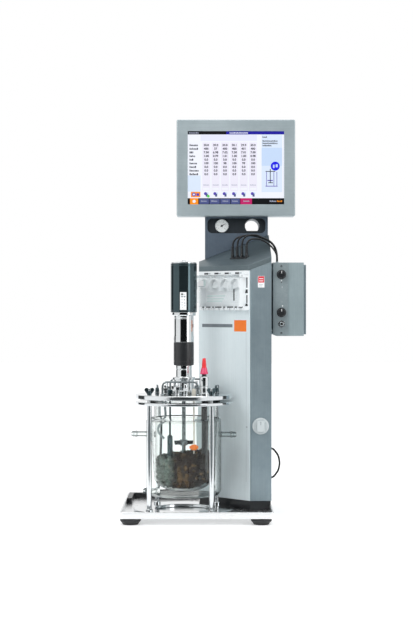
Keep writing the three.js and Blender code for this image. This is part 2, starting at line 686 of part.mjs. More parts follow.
// A rotor: two flanges on a drive shaft with three rollers between them.
function rotorBody() {
  const { rotorRadius, rotorLength, rollers, rollerRadius, shaftRadius, plate } = pump;
  const flange = 2;
  const spider = rotorRadius - rollerRadius;
  const core = [axial(spider * 0.55, rotorLength, 0, 0, 0, 8), axial(shaftRadius, rotorLength + plate + 1, 0, 0, 0, 8)];
  const ends = [0, rotorLength - flange].map((y) => axial(spider, flange, 0, y, 0, 12));
  const pins = [];
  for (let i = 0; i < rollers; i += 1) {
    const angle = (2 * Math.PI * i) / rollers + Math.PI / 2;
    const [x, z] = [spider * Math.cos(angle), spider * Math.sin(angle)];
    pins.push(axial(rollerRadius, rotorLength, x, 0, z, 8));
  }
  return join(core[0], core[1], ...ends, ...pins);
}

function buildRotors() {
  const depth = -(pump.plate + pump.rotorLength + 1.5);
  return rotorPlaces().map((x, i) => at(piece(`pump_rotor_${i + 1}`, rotorBody(), whitePlastic), x, depth, rotorLevel));
}

// The clear flap: a shallow tray on a barrel that turns between the lugs.
function buildPumpCover() {
  const barrelLength = 2 * lugReach - cover.lugWidth - 2 * seat;
  const width = barrelLength;
  const drop = pinPlace.z - cover.bottomAbove;
  const outside = upright(roundedRectangle(-width / 2, -drop, width, drop, 2.5), cover.depth, 3);
  const inside = block(-width / 2 + cover.sheet, cover.sheet, -drop + cover.sheet, width - 2 * cover.sheet, cover.depth, drop);
  const front = bayFront - cover.depth - pinPlace.y - 2 * seat;
  const shell = surface(cut(outside, inside)).translate(0, front, 0);
  const lift = block(-width / 2, front, -0.01, width, cover.depth + seat, cover.barrelRadius);
  const barrel = cylinder(cover.barrelRadius, cover.barrelRadius, width, 18).rotateY(Math.PI / 2).translate(-width / 2, 0, 0);
  const pinLength = 2 * lugReach + cover.lugWidth - 1;
  const pin = cylinder(cover.pinRadius, cover.pinRadius, pinLength, 14).rotateY(Math.PI / 2).translate(-pinLength / 2, 0, 0);
  return at(piece('pump_cover', join(shell, lift, barrel, pin), acrylic), 0, pinPlace.y, pinPlace.z);
}

function buildPumpModule() {
  const group = new THREE.Group();
  group.add(buildChassis(), ...buildRotors(), buildPumpCover());
  return onPanel(group, panelWidth - pump.rightMargin - pumpWidth / 2, seat, tower.panelTop - pump.height - 1);
}

// ---- gas box on the tower's right side ----

const boxLeft = trayWidth + gasBox.gap;

function boxOutline(inset) {
  const { width, height, corner } = gasBox;
  const shape = new THREE.Shape();
  const radius = Math.max(corner - inset, 1);
  shape.moveTo(inset + radius, inset);
  shape.lineTo(width - inset, inset);
  shape.lineTo(width - inset, height - inset);
  shape.lineTo(inset, height - inset);
  shape.lineTo(inset, inset + radius);
  shape.absarc(inset + radius, inset + radius, radius, Math.PI, 1.5 * Math.PI);
  return shape;
}

function cableEntries() {
  const entries = [];
  for (let i = 0; i < 4; i += 1) entries.push(boxFront + cable.setBack + (3 - i) * cable.pitch);
  return entries;
}

// The folded case, open at the back, with its cable glands and two bumpers.
function buildGasBox() {
  const { width, height, depth, bottom, wall, gap } = gasBox;
  const front = boxFront;
  const outside = upright(boxOutline(0), depth, 6).translate(boxLeft, front, bottom);
  const inside = upright(boxOutline(wall), depth, 6).translate(boxLeft, front + wall, bottom);
  const glands = cableEntries().map((y) => {
    return cylinder(cable.glandRadius, cable.glandRadius - 0.5, cable.glandHeight + 1, 8)
      .translate(boxLeft + cable.entry, y, bottom + height - 1);
  });
  const bumpers = [gasBox.standoffLow, gasBox.standoffHigh].map((level) => {
    return cylinder(gasBox.standoffRadius, gasBox.standoffRadius, gap - seat + 1, 8).rotateY(Math.PI / 2)
      .translate(trayWidth + seat, front + 12, bottom + level);
  });
  const holes = [gasBox.upperKnob, gasBox.lowerKnob, gasBox.fitting].map((level) => {
    return axial(gasBox.knobShaft + running, 3 * wall, boxLeft + gasBox.controlOffset, front - wall, bottom + level, 8);
  });
  return piece('gas_box', cut(join(cut(outside, inside), ...glands, ...bumpers), ...holes), brushed);
}

function controlPlace(level) {
  return [boxLeft + gasBox.controlOffset, boxFront, gasBox.bottom + level];
}

// The narrow control plate on the left of the box's face.
function buildControlPlate() {
  const { panelWidth: width, panelThickness, height, corner } = gasBox;
  const shape = roundedRectangle(0.8, 0.8, width, height - 1.6, 2);
  const plate = upright(shape, panelThickness, 3).translate(boxLeft, boxFront - panelThickness - seat, gasBox.bottom);
  const cornerCut = block(-corner, -corner, -10, corner, corner, 20);
  const nook = cut(cornerCut, cylinder(corner, corner, 40, 48).translate(0, 0, -20));
  const tool = surface(nook).rotateX(Math.PI / 2).translate(boxLeft + corner, boxFront, gasBox.bottom + corner);
  const holes = [gasBox.upperKnob, gasBox.lowerKnob, gasBox.fitting].map((level) => {
    const [x, y, z] = controlPlace(level);
    return axial(gasBox.knobShaft + running, 8, x, y - 5, z, 8);
  });
  return piece('control_plate', cut(plate, tool, ...holes), brushed);
}

function buildBoxKnob(name, level) {
  const { knobRadius, knobLength, knobShaft, panelThickness, wall } = gasBox;
  const body = knobBody(knobRadius, knobLength, 3, knobShaft, panelThickness + wall + 3);
  const [x, y, z] = controlPlace(level);
  return at(piece(name, body, blackPlastic), x, y - panelThickness - 2 * seat - knobLength, z);
}

// Hex body, collar and barbed hose tail, bored through.
function buildHoseFitting() {
  const { fittingRadius, fittingBore, panelThickness, wall, knobShaft } = gasBox;
  const hex = cylinder(fittingRadius * 1.06, fittingRadius * 1.06, 6, 6);
  const tail = turned([[0, 5], [5.2, 5], [5.2, 8], [3.6, 8], [3.6, 11], [4.6, 11], [3.7, 15], [4.6, 15], [3.5, 20], [0, 20]], 12);
  const stem = cylinder(knobShaft, knobShaft, panelThickness + wall + 4, 8).translate(0, 0, -panelThickness - wall - 3);
  const bore = cylinder(fittingBore, fittingBore, 60, 8).translate(0, 0, -30);
  const body = surface(cut(join(hex, tail, stem), bore)).rotateX(Math.PI / 2);
  const [x, y, z] = controlPlace(gasBox.fitting);
  return at(piece('hose_fitting', body, polished), x, y - panelThickness - 2 * seat, z);
}

// The rear plate that closes the box, folded to bolt against the tower's side.
function buildBoxBracket() {
  const { width, height, depth, bottom, wall, flangeOverhang, tabWidth } = gasBox;
  const y = boxFront + depth + seat;
  const left = trayWidth + seat;
  const plate = block(left, y, bottom + wall, gasBox.gap + width + flangeOverhang - seat, wall, height - 2 * wall);
  const tab = block(left, y, bottom + wall, wall, tabWidth, height - 2 * wall);
  return piece('box_bracket', join(plate, tab), brushed);
}

function buildGasUnit() {
  const group = new THREE.Group();
  group.add(buildGasBox(), buildControlPlate(), buildHoseFitting(), buildBoxBracket());
  group.add(buildBoxKnob('box_knob_upper', gasBox.upperKnob), buildBoxKnob('box_knob_lower', gasBox.lowerKnob));
  return group;
}

// ---- cables ----

const plugPlaces = [0, 1, 2, 3].map((i) => {
  const along = plug.along - plug.inset + (i - 1.5) * plug.pitch;
  const x = tower.left + (along + plug.inset) / rootTwo;
  const y = panelCorner - tower.left - (along - plug.inset) / rootTwo;
  return [x, y];
});

const plugTop = tower.panelTop + hood.lip + plug.inset * tower.slope + plug.height;

// A strip on the deck with a bend-relief boot for each cable.
function buildPlugStrip() {
  const length = 3 * plug.pitch + 2 * plug.radius;
  const angle = Math.atan(tower.slope);
  const strip = block(-length / 2, -plug.baseDepth / 2, 0, length, plug.baseDepth, plug.base).rotateX(angle);
  const boots = [0, 1, 2, 3].map((i) => {
    return cylinder(plug.radius, plug.radius * 0.85, plug.height - plug.radius * tower.slope - plug.base / 4, 10)
      .translate((i - 1.5) * plug.pitch, 0, plug.radius * tower.slope + plug.base / 4);
  });
  const body = join(strip, ...boots);
  const mesh = piece('plug_strip', body, blackPlastic);
  mesh.rotation.z = -Math.PI / 4;
  const x = (plugPlaces[0][0] + plugPlaces[3][0]) / 2;
  const y = (plugPlaces[0][1] + plugPlaces[3][1]) / 2;
  return at(mesh, x, y, plugTop - plug.height + seat / Math.cos(angle));
}

// Corners that each lead rounds, x and z: three share the outer arch and one takes the inner.
const archOuter = [[290, 592.5], [315, 582], [328, 560]];
const cableArches = [
  [589, [265, 597], ...archOuter], [591.5, [270, 597], ...archOuter], [592, [280, 597], ...archOuter],
  [584, [285, 589], [306, 579], [320, 565], [327, 551]],
];

// Evenly spaced points of a smooth line that rounds each corner in turn.
function eased(corners, count) {
  const turns = corners.map((corner) => new THREE.Vector3(...corner));
  const last = turns.length - 1;
  const path = new THREE.CurvePath();
  for (let i = 1; i < last; i += 1) {
    const from = i === 1 ? turns[0] : turns[i - 1].clone().lerp(turns[i], 0.5);
    const to = i === last - 1 ? turns[last] : turns[i].clone().lerp(turns[i + 1], 0.5);
    path.add(new THREE.QuadraticBezierCurve3(from, turns[i], to));
  }
  return path.getSpacedPoints(count).map((point) => point.toArray());
}

function cableRoute(i) {
  const [startX, startY] = plugPlaces[i];
  const endX = boxLeft + cable.entry;
  const endY = cableEntries()[i];
  const endZ = gasBox.bottom + gasBox.height + cable.glandHeight + seat;
  const [firstLevel, ...arch] = cableArches[i];
  const middle = arch.map(([x, z], k) => [x, startY + ((endY - startY) * (k + 1)) / arch.length, z]);
  const corners = [[startX, startY, plugTop + 2 * seat], [startX, startY, firstLevel], ...middle, [endX, endY, endZ]];
  return eased(corners, cable.points);
}

function buildCables() {
  return [0, 1, 2, 3].map((i) => {
    return piece(`cable_${i + 1}`, bar(cableRoute(i), cable.radius, cable.sides, cable.steps), blackPlastic);
  });
}

// A lead that leaves the tower's side near the back and goes in again lower down.
function buildLoopCable() {
  const { upper, lower, reach, depthFromBack } = loopCable;
  const x = trayWidth + loopCable.glandLength + seat;
  const y = trayDepth - depthFromBack;
  const middle = (upper + lower) / 2;
  const points = [
    [x, y, upper], [x + 5, y, upper], [x + reach * 0.55, y - 1, upper - 7], [x + reach * 0.85, y - 2, middle + 12],
    [x + reach * 0.85, y - 2, middle - 12], [x + reach * 0.55, y - 1, lower + 7], [x + 5, y, lower], [x, y, lower],
  ];
  return piece('loop_cable', bar(points, loopCable.radius, loopCable.sides, loopCable.steps), rubber);
}

function buildGlandPlate() {
  const { upper, lower, radius, depthFromBack, glandLength, plateWidth, plateMargin } = loopCable;
  const y = trayDepth - depthFromBack;
  const x = trayWidth + seat;
  const height = upper - lower + 2 * plateMargin;
  const plate = block(x, y - plateWidth / 2, lower - plateMargin, tower.wall, plateWidth, height);
  const glands = [upper, lower].map((level) => {
    return cylinder(2.1 * radius, 1.65 * radius, glandLength - seat, 8).rotateY(Math.PI / 2).translate(x, y, level);
  });
  return piece('cable_gland_plate', join(plate, ...glands), blackPlastic);
}

// ---- vessel station, in its own frame on the tray floor ----

const clampTop = stand.clampBottom + clamp.thickness;
const flangeBottom = clampTop + seat;
const flangeTop = flangeBottom + glass.flangeThickness;
const lidBottom = flangeTop + gasket.thickness + 2 * seat;
const lidTop = lidBottom + lid.thickness;
const legAngles = [-45, 45, 135, -135];

// Local place at an angle from the front, turning towards the right.
function polar(angle, radius) {
  const radians = THREE.MathUtils.degToRad(angle);
  return [radius * Math.sin(radians), -radius * Math.cos(radians)];
}

function washer(outer, inner, height, segments = 32) {
  return cut(cylinder(outer, outer, height, segments), cylinder(inner, inner, height + 2, segments).translate(0, 0, -1));
}

// The floor ring with its four legs, each turned down to a stud at the top.
function buildStand() {
  const ring = washer(stand.ringOuter, stand.ringInner, stand.ringHeight, 36);
  const legTop = stand.clampBottom - seat;
  const studTop = lidTop + stand.studAboveLid;
  const profile = [
    [0, stand.ringHeight - 1], [stand.legRadius, stand.ringHeight - 1], [stand.legRadius, legTop - 1],
    [stand.legRadius - 1, legTop], [stand.studRadius, legTop], [stand.studRadius, studTop - 0.8],
    [stand.studRadius - 0.8, studTop], [0, studTop],
  ];
  const legs = legAngles.map((angle) => turned(profile, 10).translate(...polar(angle, stand.legCircle), 0));
  return at(piece('stand_frame', join(ring, ...legs), polished), 0, 0, seat);
}

function studHoles(bottom, height) {
  const radius = stand.studRadius + seat;
  return legAngles.map((angle) => {
    return cylinder(radius, radius, height + 2, 8).translate(...polar(angle, stand.legCircle), bottom - 1);
  });
}

function buildClamp() {
  const ring = cut(washer(clamp.outer, clamp.inner, clamp.thickness, 36), ...studHoles(0, clamp.thickness));
  return at(piece('clamp_ring', ring, polished), 0, 0, stand.clampBottom);
}

// Points of a dished bottom, from the axis out to the wall.
function dish(radius, bottom, height, steps) {
  const points = [];
  for (let i = 0; i <= steps; i += 1) {
    const angle = (Math.PI / 2) * (i / steps);
    points.push([radius * Math.sin(angle), bottom + height * (1 - Math.cos(angle))]);
  }
  return points;
}

function quarter(centreX, centreZ, radius, from, to, steps) {
  const points = [];
  for (let i = 0; i <= steps; i += 1) {
    const angle = THREE.MathUtils.degToRad(from + ((to - from) * i) / steps);
    points.push([centreX + radius * Math.cos(angle), centreZ + radius * Math.sin(angle)]);
  }
  return points;
}

// The jacket's outline, or its inside when drawn in by the wall.
function jacketOutline(inset) {
  const radius = glass.jacketRadius - inset;
  const corner = glass.jacketCorner - inset;
  const shoulder = glass.shoulder - inset / 2;
  const bottom = glass.jacketBottom + inset;
  const top = glass.jacketTop - inset;
  return [
    [0, bottom], ...quarter(radius - corner, bottom + corner, corner, -90, 0, 3),
    ...quarter(radius - shoulder, top - shoulder, shoulder, 0, 90, 2), [0, top],
  ];
}

function nipple(angle, height, length) {
  const { nippleRadius, barbRadius, jacketRadius } = glass;
  const start = jacketRadius - 2;
  const tip = start + length;
  const profile = [
    [0, start], [nippleRadius, start], [nippleRadius, tip - 12], [barbRadius, tip - 11],
    [nippleRadius - 0.6, tip - 1], [nippleRadius - 1.4, tip], [0, tip],
  ];
  return turned(profile, 10).rotateX(Math.PI / 2).rotateZ(THREE.MathUtils.degToRad(angle)).translate(0, 0, height);
}

function nippleBore(angle, height, length) {
  const bore = cylinder(glass.nippleBore, glass.nippleBore, length + 8, 8).translate(0, 0, glass.jacketRadius - 7);
  return bore.rotateX(Math.PI / 2).rotateZ(THREE.MathUtils.degToRad(angle)).translate(0, 0, height);
}

// A blown vessel in a water jacket: dished well, jacket with three nipples, ground flange.
function buildGlass() {
  const { bore, wall, flangeRadius, wellBottom, wellDish, nippleHeight, nippleLength } = glass;
  const outer = bore + wall;
  const neckTop = flangeBottom - 6;
  const wellOutside = turned([...dish(outer, wellBottom - wall, wellDish + wall, 5), [outer, neckTop],
    [outer + 1.2, flangeBottom], [flangeRadius - 1, flangeBottom], [flangeRadius, flangeBottom + 1],
    [flangeRadius, flangeTop - 1], [flangeRadius - 1, flangeTop], [0, flangeTop]], 30);
  const wellInside = turned([...dish(bore, wellBottom, wellDish, 5), [bore, flangeTop + 1], [0, flangeTop + 1]], 30);
  const jacket = turned(jacketOutline(0), 30);
  const jacketSpace = cut(turned(jacketOutline(wall), 30), wellOutside);
  const ports = [[-90, nippleHeight, nippleLength], [90, nippleHeight, nippleLength],
    [glass.lowerNippleAngle, glass.lowerNippleHeight, nippleLength * 0.4]];
  const body = join(wellOutside, jacket, ...ports.map((port) => nipple(...port)));
  return piece('glass_vessel', cut(body, wellInside, jacketSpace, ...ports.map((port) => nippleBore(...port))), glassClear);
}

function buildGasket() {
  return at(piece('lid_gasket', washer(gasket.outer, gasket.inner, gasket.thickness), silicone), 0, 0, flangeTop + seat);
}

// A screwed port on the lid: collar, hex and cap.
function lidPort(radius, height) {
  return turned([
    [0, -2], [radius, -2], [radius, height * 0.3], [radius * 1.35, height * 0.4], [radius * 1.35, height * 0.75],
    [radius * 0.8, height], [0, height],
  ], 8);
}

const portList = [
  { angle: -108, radius: 5, height: 24 }, { angle: -78, radius: 6, height: 20 }, { angle: -14, radius: 5, height: 26 },
  { angle: 12, radius: 4.4, height: 22 }, { angle: 104, radius: 6, height: 22 },
  { angle: 142, radius: 5, height: 26 }, { angle: 180, radius: 6, height: 20 }, { angle: -144, radius: 5, height: 24 },
];

// The gas inlet pipe welded under the lid, bent out towards the wall.
function inletPipe() {
  const [x, y] = polar(portList[1].angle, lid.portCircle);
  const { radius, straight, bend, drop } = inlet;
  const turn = (drop - straight) / 5;
  const points = [
    [x, y, radius], [x, y, -straight / 2], [x, y, -straight], [x - bend / 3, y, -straight - turn],
    [x - 0.87 * bend, y, -straight - 2.1 * turn], [x - bend, y, -straight - 3.1 * turn],
    [x - 0.6 * bend, y, -straight - 4.2 * turn], [x - 0.13 * bend, y, -drop],
  ];
  return bar(points, radius, 6, 12);
}

function buildLid() {
  const { radius, thickness, chamfer, boreRadius, portCircle } = lid;
  const profile = [[0, 0], [radius - chamfer, 0], [radius, chamfer], [radius, thickness - chamfer], [radius - chamfer, thickness], [0, thickness]];
  const bore = (size, x, y, sides) => cylinder(size, size, 3 * thickness, sides).translate(x, y, -thickness);
  const ports = portList.map((port) => lidPort(port.radius, port.height).translate(...polar(port.angle, portCircle), thickness));
  const bores = [
    bore(boreRadius, 0, 0, 12), bore(sensor.probeRadius + seat, sensor.x, sensor.y, 12),
    bore(well.rodRadius + seat, well.x, well.y, 8), bore(dipTube.radius + seat, dipTube.x, dipTube.y, 8),
  ];
  const body = cut(join(turned(profile, 36), ...ports, inletPipe()), ...bores, ...studHoles(0, thickness));
  return at(piece('lid', body, polished), 0, 0, lidBottom);
}

// Hub and two rounded wings, bored for the stud.
function buildWingNut(index, angle, turn) {
  const { radius, height, span, lobe, thickness } = wing;
  const hub = turned([[0, 0], [radius, 0], [radius * 0.8, height], [0, height]], 10);
  const wings = [-1, 1].map((side) => {
    const shape = new THREE.Shape();
    shape.absarc(side * (span / 2 - lobe * 0.6), height + 2, lobe, 0, 2 * Math.PI);
    const arm = polygon([[0, 1], [side * span * 0.42, height - 2], [side * span * 0.3, height + 4], [0, height - 1]]);
    const body = join(upright(shape, thickness, 6), upright(arm, thickness, 1));
    return surface(body).translate(0, -thickness / 2, 0);
  });
  const bore = cylinder(stand.studRadius + seat, stand.studRadius + seat, 3 * height, 8).translate(0, 0, -height);
  const mesh = piece(`wing_nut_${index}`, cut(join(hub, ...wings), bore), anodised);
  mesh.rotation.z = THREE.MathUtils.degToRad(turn);
  return at(mesh, ...polar(angle, stand.legCircle), lidTop + seat);
}

// A bent wire handle on two round feet.
function buildHandle(name, y) {
  const { width, height, radius, corner, footRadius, footHeight } = handle;
  const half = width / 2 - radius;
  const top = height - radius;
  const left = quarter(-half + corner, top - corner, corner, 180, 90, 4).map(([x, z]) => [x, 0, z]);
  const right = quarter(half - corner, top - corner, corner, 90, 0, 4).map(([x, z]) => [x, 0, z]);
  const wire = bar([[-half, 0, 0.5], [-half, 0, top - corner - 4], ...left, ...right, [half, 0, top - corner - 4], [half, 0, 0.5]], radius, 6, 18);
  const feet = [-half, half].map((x) => cylinder(footRadius, footRadius * 0.8, footHeight, 8).translate(x, 0, 0));
  return at(piece(name, join(wire, ...feet), polished), 0, y, lidTop + seat);
}

// ---- drive ----

const hubTop = lidTop + seat + drive.hubHeight + drive.stemHeight;
const sleeveTop = hubTop + seat + drive.sleeveHeight;
const lanternTop = sleeveTop + seat + drive.collarHeight + drive.lanternHeight + drive.plateHeight;
const motorTop = lanternTop + seat + drive.motorHeight;

function bored(body, radius, height) {
  return cut(body, cylinder(radius, radius, height + 2, 12).translate(0, 0, -1));
}

function buildHub() {
  const { hubRadius, hubHeight, stemRadius, stemHeight } = drive;
  const height = hubHeight + stemHeight;
  const body = turned([
    [0, 0], [hubRadius, 0], [hubRadius, 6], [hubRadius - 3, 8], [hubRadius - 3, hubHeight - 6], [hubRadius, hubHeight - 5],
    [hubRadius, hubHeight - 1], [hubRadius - 1, hubHeight], [stemRadius, hubHeight], [stemRadius, height], [0, height],
  ], 24);
  return at(piece('drive_hub', bored(body, stirrer.shaftRadius + running, height), polished), 0, 0, lidTop + seat);
}

function buildSleeve() {
  const { sleeveRadius, sleeveHeight, sleeveBore } = drive;
  const body = turned([[0, 0], [sleeveRadius - 0.8, 0], [sleeveRadius, 0.8], [sleeveRadius, sleeveHeight - 0.8],
    [sleeveRadius - 0.8, sleeveHeight], [0, sleeveHeight]], 24);
  return at(piece('coupling_sleeve', bored(body, sleeveBore, sleeveHeight), blackPlastic), 0, 0, hubTop + seat);
}

// Collar, polished tube and the motor's end plate, turned from one bar.
function buildLantern() {
  const { collarRadius, collarHeight, lanternRadius, lanternHeight, plateRadius, plateHeight } = drive;
  const tubeTop = collarHeight + lanternHeight;
  const body = turned([
    [0, 0], [collarRadius, 0], [collarRadius, collarHeight - 1], [lanternRadius, collarHeight],
    [lanternRadius, tubeTop], [plateRadius - 1.5, tubeTop], [plateRadius, tubeTop + 1.5],
    [plateRadius, tubeTop + plateHeight], [0, tubeTop + plateHeight],
  ], 24);
  const setScrews = [-1, 1].map((side) => {
    return cylinder(1.6, 1.6, 4, 8).rotateY(side * Math.PI / 2).translate(side * (collarRadius - 1.5), 0, collarHeight / 2);
  });
  return at(piece('drive_lantern', cut(body, ...setScrews), polished), 0, 0, sleeveTop + seat);
}

function buildMotor() {
  const { motorRadius, motorHeight } = drive;
  const body = turned([[0, 0], [motorRadius - 0.8, 0], [motorRadius, 0.8], [motorRadius, motorHeight - 0.8],
    [motorRadius - 0.8, motorHeight], [0, motorHeight]], 26);
  return at(piece('motor_body', body, anodised), 0, 0, lanternTop + seat);
}

function buildMotorCap() {
  const { motorRadius, capHeight } = drive;
  const body = turned([
    [0, 0], [motorRadius - 0.5, 0], [motorRadius - 0.5, 1.4], [motorRadius - 3, 2.4], [motorRadius * 0.55, capHeight - 1.2],
    [4, capHeight - 0.4], [4, capHeight], [2.6, capHeight + 2.2], [0, capHeight + 2.2],
  ], 22);
  return at(piece('motor_cap', body, polished), 0, 0, motorTop + seat);
}

// Four pitched blades on a hub.
function impeller(height) {
  const { blades, bladeReach, bladeHeight, bladeThickness, bladePitch, hubRadius, hubHeight } = stirrer;
  const parts = [cylinder(hubRadius, hubRadius, hubHeight, 12)];
  for (let i = 0; i < blades; i += 1) {
    const blade = block(hubRadius - 2, -bladeThickness / 2, -bladeHeight / 2, bladeReach - hubRadius + 2, bladeThickness, bladeHeight);
    blade.rotateX(THREE.MathUtils.degToRad(bladePitch)).translate(0, 0, hubHeight / 2).rotateZ((2 * Math.PI * i) / blades);
    parts.push(blade);
  }
  return surface(join(...parts)).translate(0, 0, height - hubHeight / 2);
}

function buildStirrer() {
  const { shaftRadius, bottom, top, upperImpeller, lowerImpeller } = stirrer;
  const shaft = cylinder(shaftRadius, shaftRadius, top - bottom, 12).translate(0, 0, bottom);
  const mesh = piece('stirrer', join(shaft, impeller(upperImpeller), impeller(lowerImpeller)), polished);
  mesh.rotation.z = THREE.MathUtils.degToRad(20);
  return mesh;
}

// ---- pieces through the lid ----

function buildSensorHolder() {
  const { x, y, holderRadius, holderHeight, probeRadius } = sensor;
  const body = turned([[0, 0], [holderRadius + 2, 0], [holderRadius + 2, 3], [holderRadius, 4], [holderRadius, holderHeight - 1],
    [holderRadius - 1, holderHeight], [0, holderHeight]], 18);
  return at(piece('sensor_holder', bored(body, probeRadius + seat, holderHeight), polished), x, y, lidTop + seat);
}

function buildProbe() {
  const { x, y, probeRadius, probeBottom, holderHeight, holderRadius } = sensor;
  const holderTop = lidTop + seat + holderHeight;
  const body = turned([[0, probeBottom], [probeRadius - 2, probeBottom], [probeRadius, probeBottom + 3],
    [probeRadius, holderTop + seat], [holderRadius - 2, holderTop + seat], [holderRadius - 2, holderTop + 5], [0, holderTop + 5]], 14);
  return at(piece('sensor_probe', body, blackPlastic), x, y, 0);
}

function buildProbeCap() {
  const { x, y, capHeight, holderHeight } = sensor;
  const body = turned([[0, 0], [8.3, 0], [8.3, 9], [6.6, 13], [5.6, 14], [4, capHeight - 1], [3, capHeight], [0, capHeight]], 14);
  return at(piece('probe_cap', body, redPlastic), x, y, lidTop + holderHeight + 5 + 2 * seat);
}

function buildWell() {
  const { x, y, radius, rodRadius, bottom, top } = well;
  const capTop = lidTop + seat;
  const body = turned([[0, bottom], [radius - 3, bottom], [radius, bottom + 4], [radius, top - 3], [rodRadius, top],
    [rodRadius, capTop], [5, capTop], [5, capTop + 8], [3.4, capTop + 10], [0, capTop + 10]], 12);
  return at(piece('temperature_probe', body, anodised), x, y, 0);
}

// The harvest pipe with its tee fitting, down into the bed.
function buildDipTube() {
  const { x, y, radius, bottom, fittingBottom, fittingHeight, fittingRadius, fittingReach } = dipTube;
  const capTop = lidTop + seat;
  const body = turned([[0, bottom], [radius, bottom], [radius, fittingBottom], [fittingRadius, fittingBottom + 1],
    [fittingRadius, fittingBottom + fittingHeight - 1], [radius, fittingBottom + fittingHeight], [radius, capTop],
    [4.4, capTop], [4.4, capTop + 9], [3, capTop + 12], [0, capTop + 12]], 10);
  const arm = cylinder(3, 3, 2 * fittingReach, 8).rotateY(Math.PI / 2).translate(-fittingReach, 0, fittingBottom + fittingHeight / 2);
  return at(piece('harvest_tube', join(body, arm), orangePlastic), x, y, 0);
}

// The bed of solid substrate: it fills the dished well and keeps clear of all that dips into it.
function buildBed() {
  const radius = glass.bore - bed.gap;
  const bottom = glass.wellBottom + bed.gap;
  const rings = [0.97, 0.66, 0.33].map((share) => [radius * share, bed.top]);
  const body = turned([...dish(radius, bottom, glass.wellDish, 5), [radius, bed.top - 2], ...rings, [0, bed.top]], 24);
  const places = body.attributes.position;
  for (let i = 0; i < places.count; i += 1) {
    if (places.getZ(i) > bed.top - 3) {
      const [x, y] = [places.getX(i), places.getY(i)];
      const distance = (x - bed.dipX) ** 2 + (y - bed.dipY) ** 2;
      places.setZ(i, places.getZ(i) + bed.tilt * x - bed.dip * Math.exp(-distance / bed.dipSpread ** 2));
    }
  }
  const clear = (pieceRadius, x, y, low) => {
    const size = pieceRadius + bed.clearance;
    return cylinder(size, size, bed.top, 8).translate(x, y, low - bed.clearance);
  };
  const swept = stirrer.bladeReach + bed.clearance + 1;
  const sweptHeight = stirrer.hubHeight + 2;
  const tools = [
    clear(stirrer.shaftRadius, 0, 0, stirrer.bottom), clear(sensor.probeRadius, sensor.x, sensor.y, sensor.probeBottom),
    clear(well.radius, well.x, well.y, well.bottom), clear(dipTube.radius, dipTube.x, dipTube.y, dipTube.bottom),
    cylinder(swept, swept, sweptHeight, 14).translate(0, 0, stirrer.lowerImpeller - sweptHeight / 2),
    clear(stirrer.hubRadius, 0, 0, stirrer.lowerImpeller),
  ];
  return piece('substrate_bed', cut(body, ...tools), soil);
}

function buildStation() {
  const group = new THREE.Group();
  group.add(buildStand(), buildClamp(), buildGlass(), buildGasket(), buildLid());
  [20, -20, 75, -75].forEach((turn, i) => group.add(buildWingNut(i + 1, legAngles[i], turn)));
  group.add(buildHandle('handle_front', -handle.offset), buildHandle('handle_rear', handle.offset));
  group.add(buildHub(), buildSleeve(), buildLantern(), buildMotor(), buildMotorCap(), buildStirrer());
  group.add(buildSensorHolder(), buildProbe(), buildProbeCap(), buildWell(), buildDipTube(), buildBed());
  group.rotation.z = THREE.MathUtils.degToRad(station.turn);
  return at(group, stationX, stationY, floorTop);
}

// ---- the whole unit ----

const cordNames = ['cable_1', 'cable_2', 'cable_3', 'cable_4', 'loop_cable'];

// Moves the unit so that the middle of its footprint, cables left out, is the origin.
function centred(group) {
  const box = new THREE.Box3();
  group.updateMatrixWorld(true);
  group.traverse((object) => {
    if (object.isMesh && !cordNames.includes(object.name)) box.expandByObject(object, true);
  });
  const middle = box.getCenter(new THREE.Vector3());
  group.position.set(-middle.x, -middle.y, -box.min.z);
  return group;
}

const unit = new THREE.Group();
unit.add(buildBase(), buildPlinth(), buildShell(), buildFrontPanel(), buildHood(), buildNeck(), buildRearCover());
unit.add(buildGauge(), buildNeedle(), buildDisplayHousing(), buildScreen(), buildDisplayBack(), buildMainKnob());
unit.add(buildPumpModule(), buildGasUnit(), buildPlugStrip(), ...buildCables(), buildLoopCable(), buildGlandPlate());
unit.add(buildStation());

export default centred(unit);
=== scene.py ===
import json
import math
import random

import bpy
from mathutils import Matrix, Vector


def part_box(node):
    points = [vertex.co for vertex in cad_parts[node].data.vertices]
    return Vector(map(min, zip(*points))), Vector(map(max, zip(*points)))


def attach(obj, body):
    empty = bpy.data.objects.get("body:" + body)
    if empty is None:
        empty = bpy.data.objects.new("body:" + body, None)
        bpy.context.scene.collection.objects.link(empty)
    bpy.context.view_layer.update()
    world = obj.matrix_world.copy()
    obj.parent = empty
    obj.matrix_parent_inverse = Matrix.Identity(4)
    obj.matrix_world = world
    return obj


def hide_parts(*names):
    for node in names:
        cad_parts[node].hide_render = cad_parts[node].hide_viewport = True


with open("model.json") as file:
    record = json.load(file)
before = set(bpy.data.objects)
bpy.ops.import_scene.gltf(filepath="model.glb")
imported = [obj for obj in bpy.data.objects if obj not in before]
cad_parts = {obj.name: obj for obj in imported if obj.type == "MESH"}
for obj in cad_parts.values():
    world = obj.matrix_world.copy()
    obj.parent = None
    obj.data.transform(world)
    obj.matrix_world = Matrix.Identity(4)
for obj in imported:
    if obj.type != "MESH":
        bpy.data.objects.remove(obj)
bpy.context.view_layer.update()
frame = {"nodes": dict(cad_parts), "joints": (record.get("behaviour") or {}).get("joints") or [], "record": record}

nodes = frame["nodes"]
bodyOf = {name: body for body, members in frame["record"]["behaviour"]["bodies"].items() for name in
    members}
mm = 0.001
quarterTurn = math.pi / 2
random.seed(11)
bpy.context.scene.view_settings.view_transform = "Standard"

print("stage: camera and leads")

studioCamera = {"x": -0.0199, "y": -3.172, "height": 0.4354, "lens": 86.5, "sensor": 36}


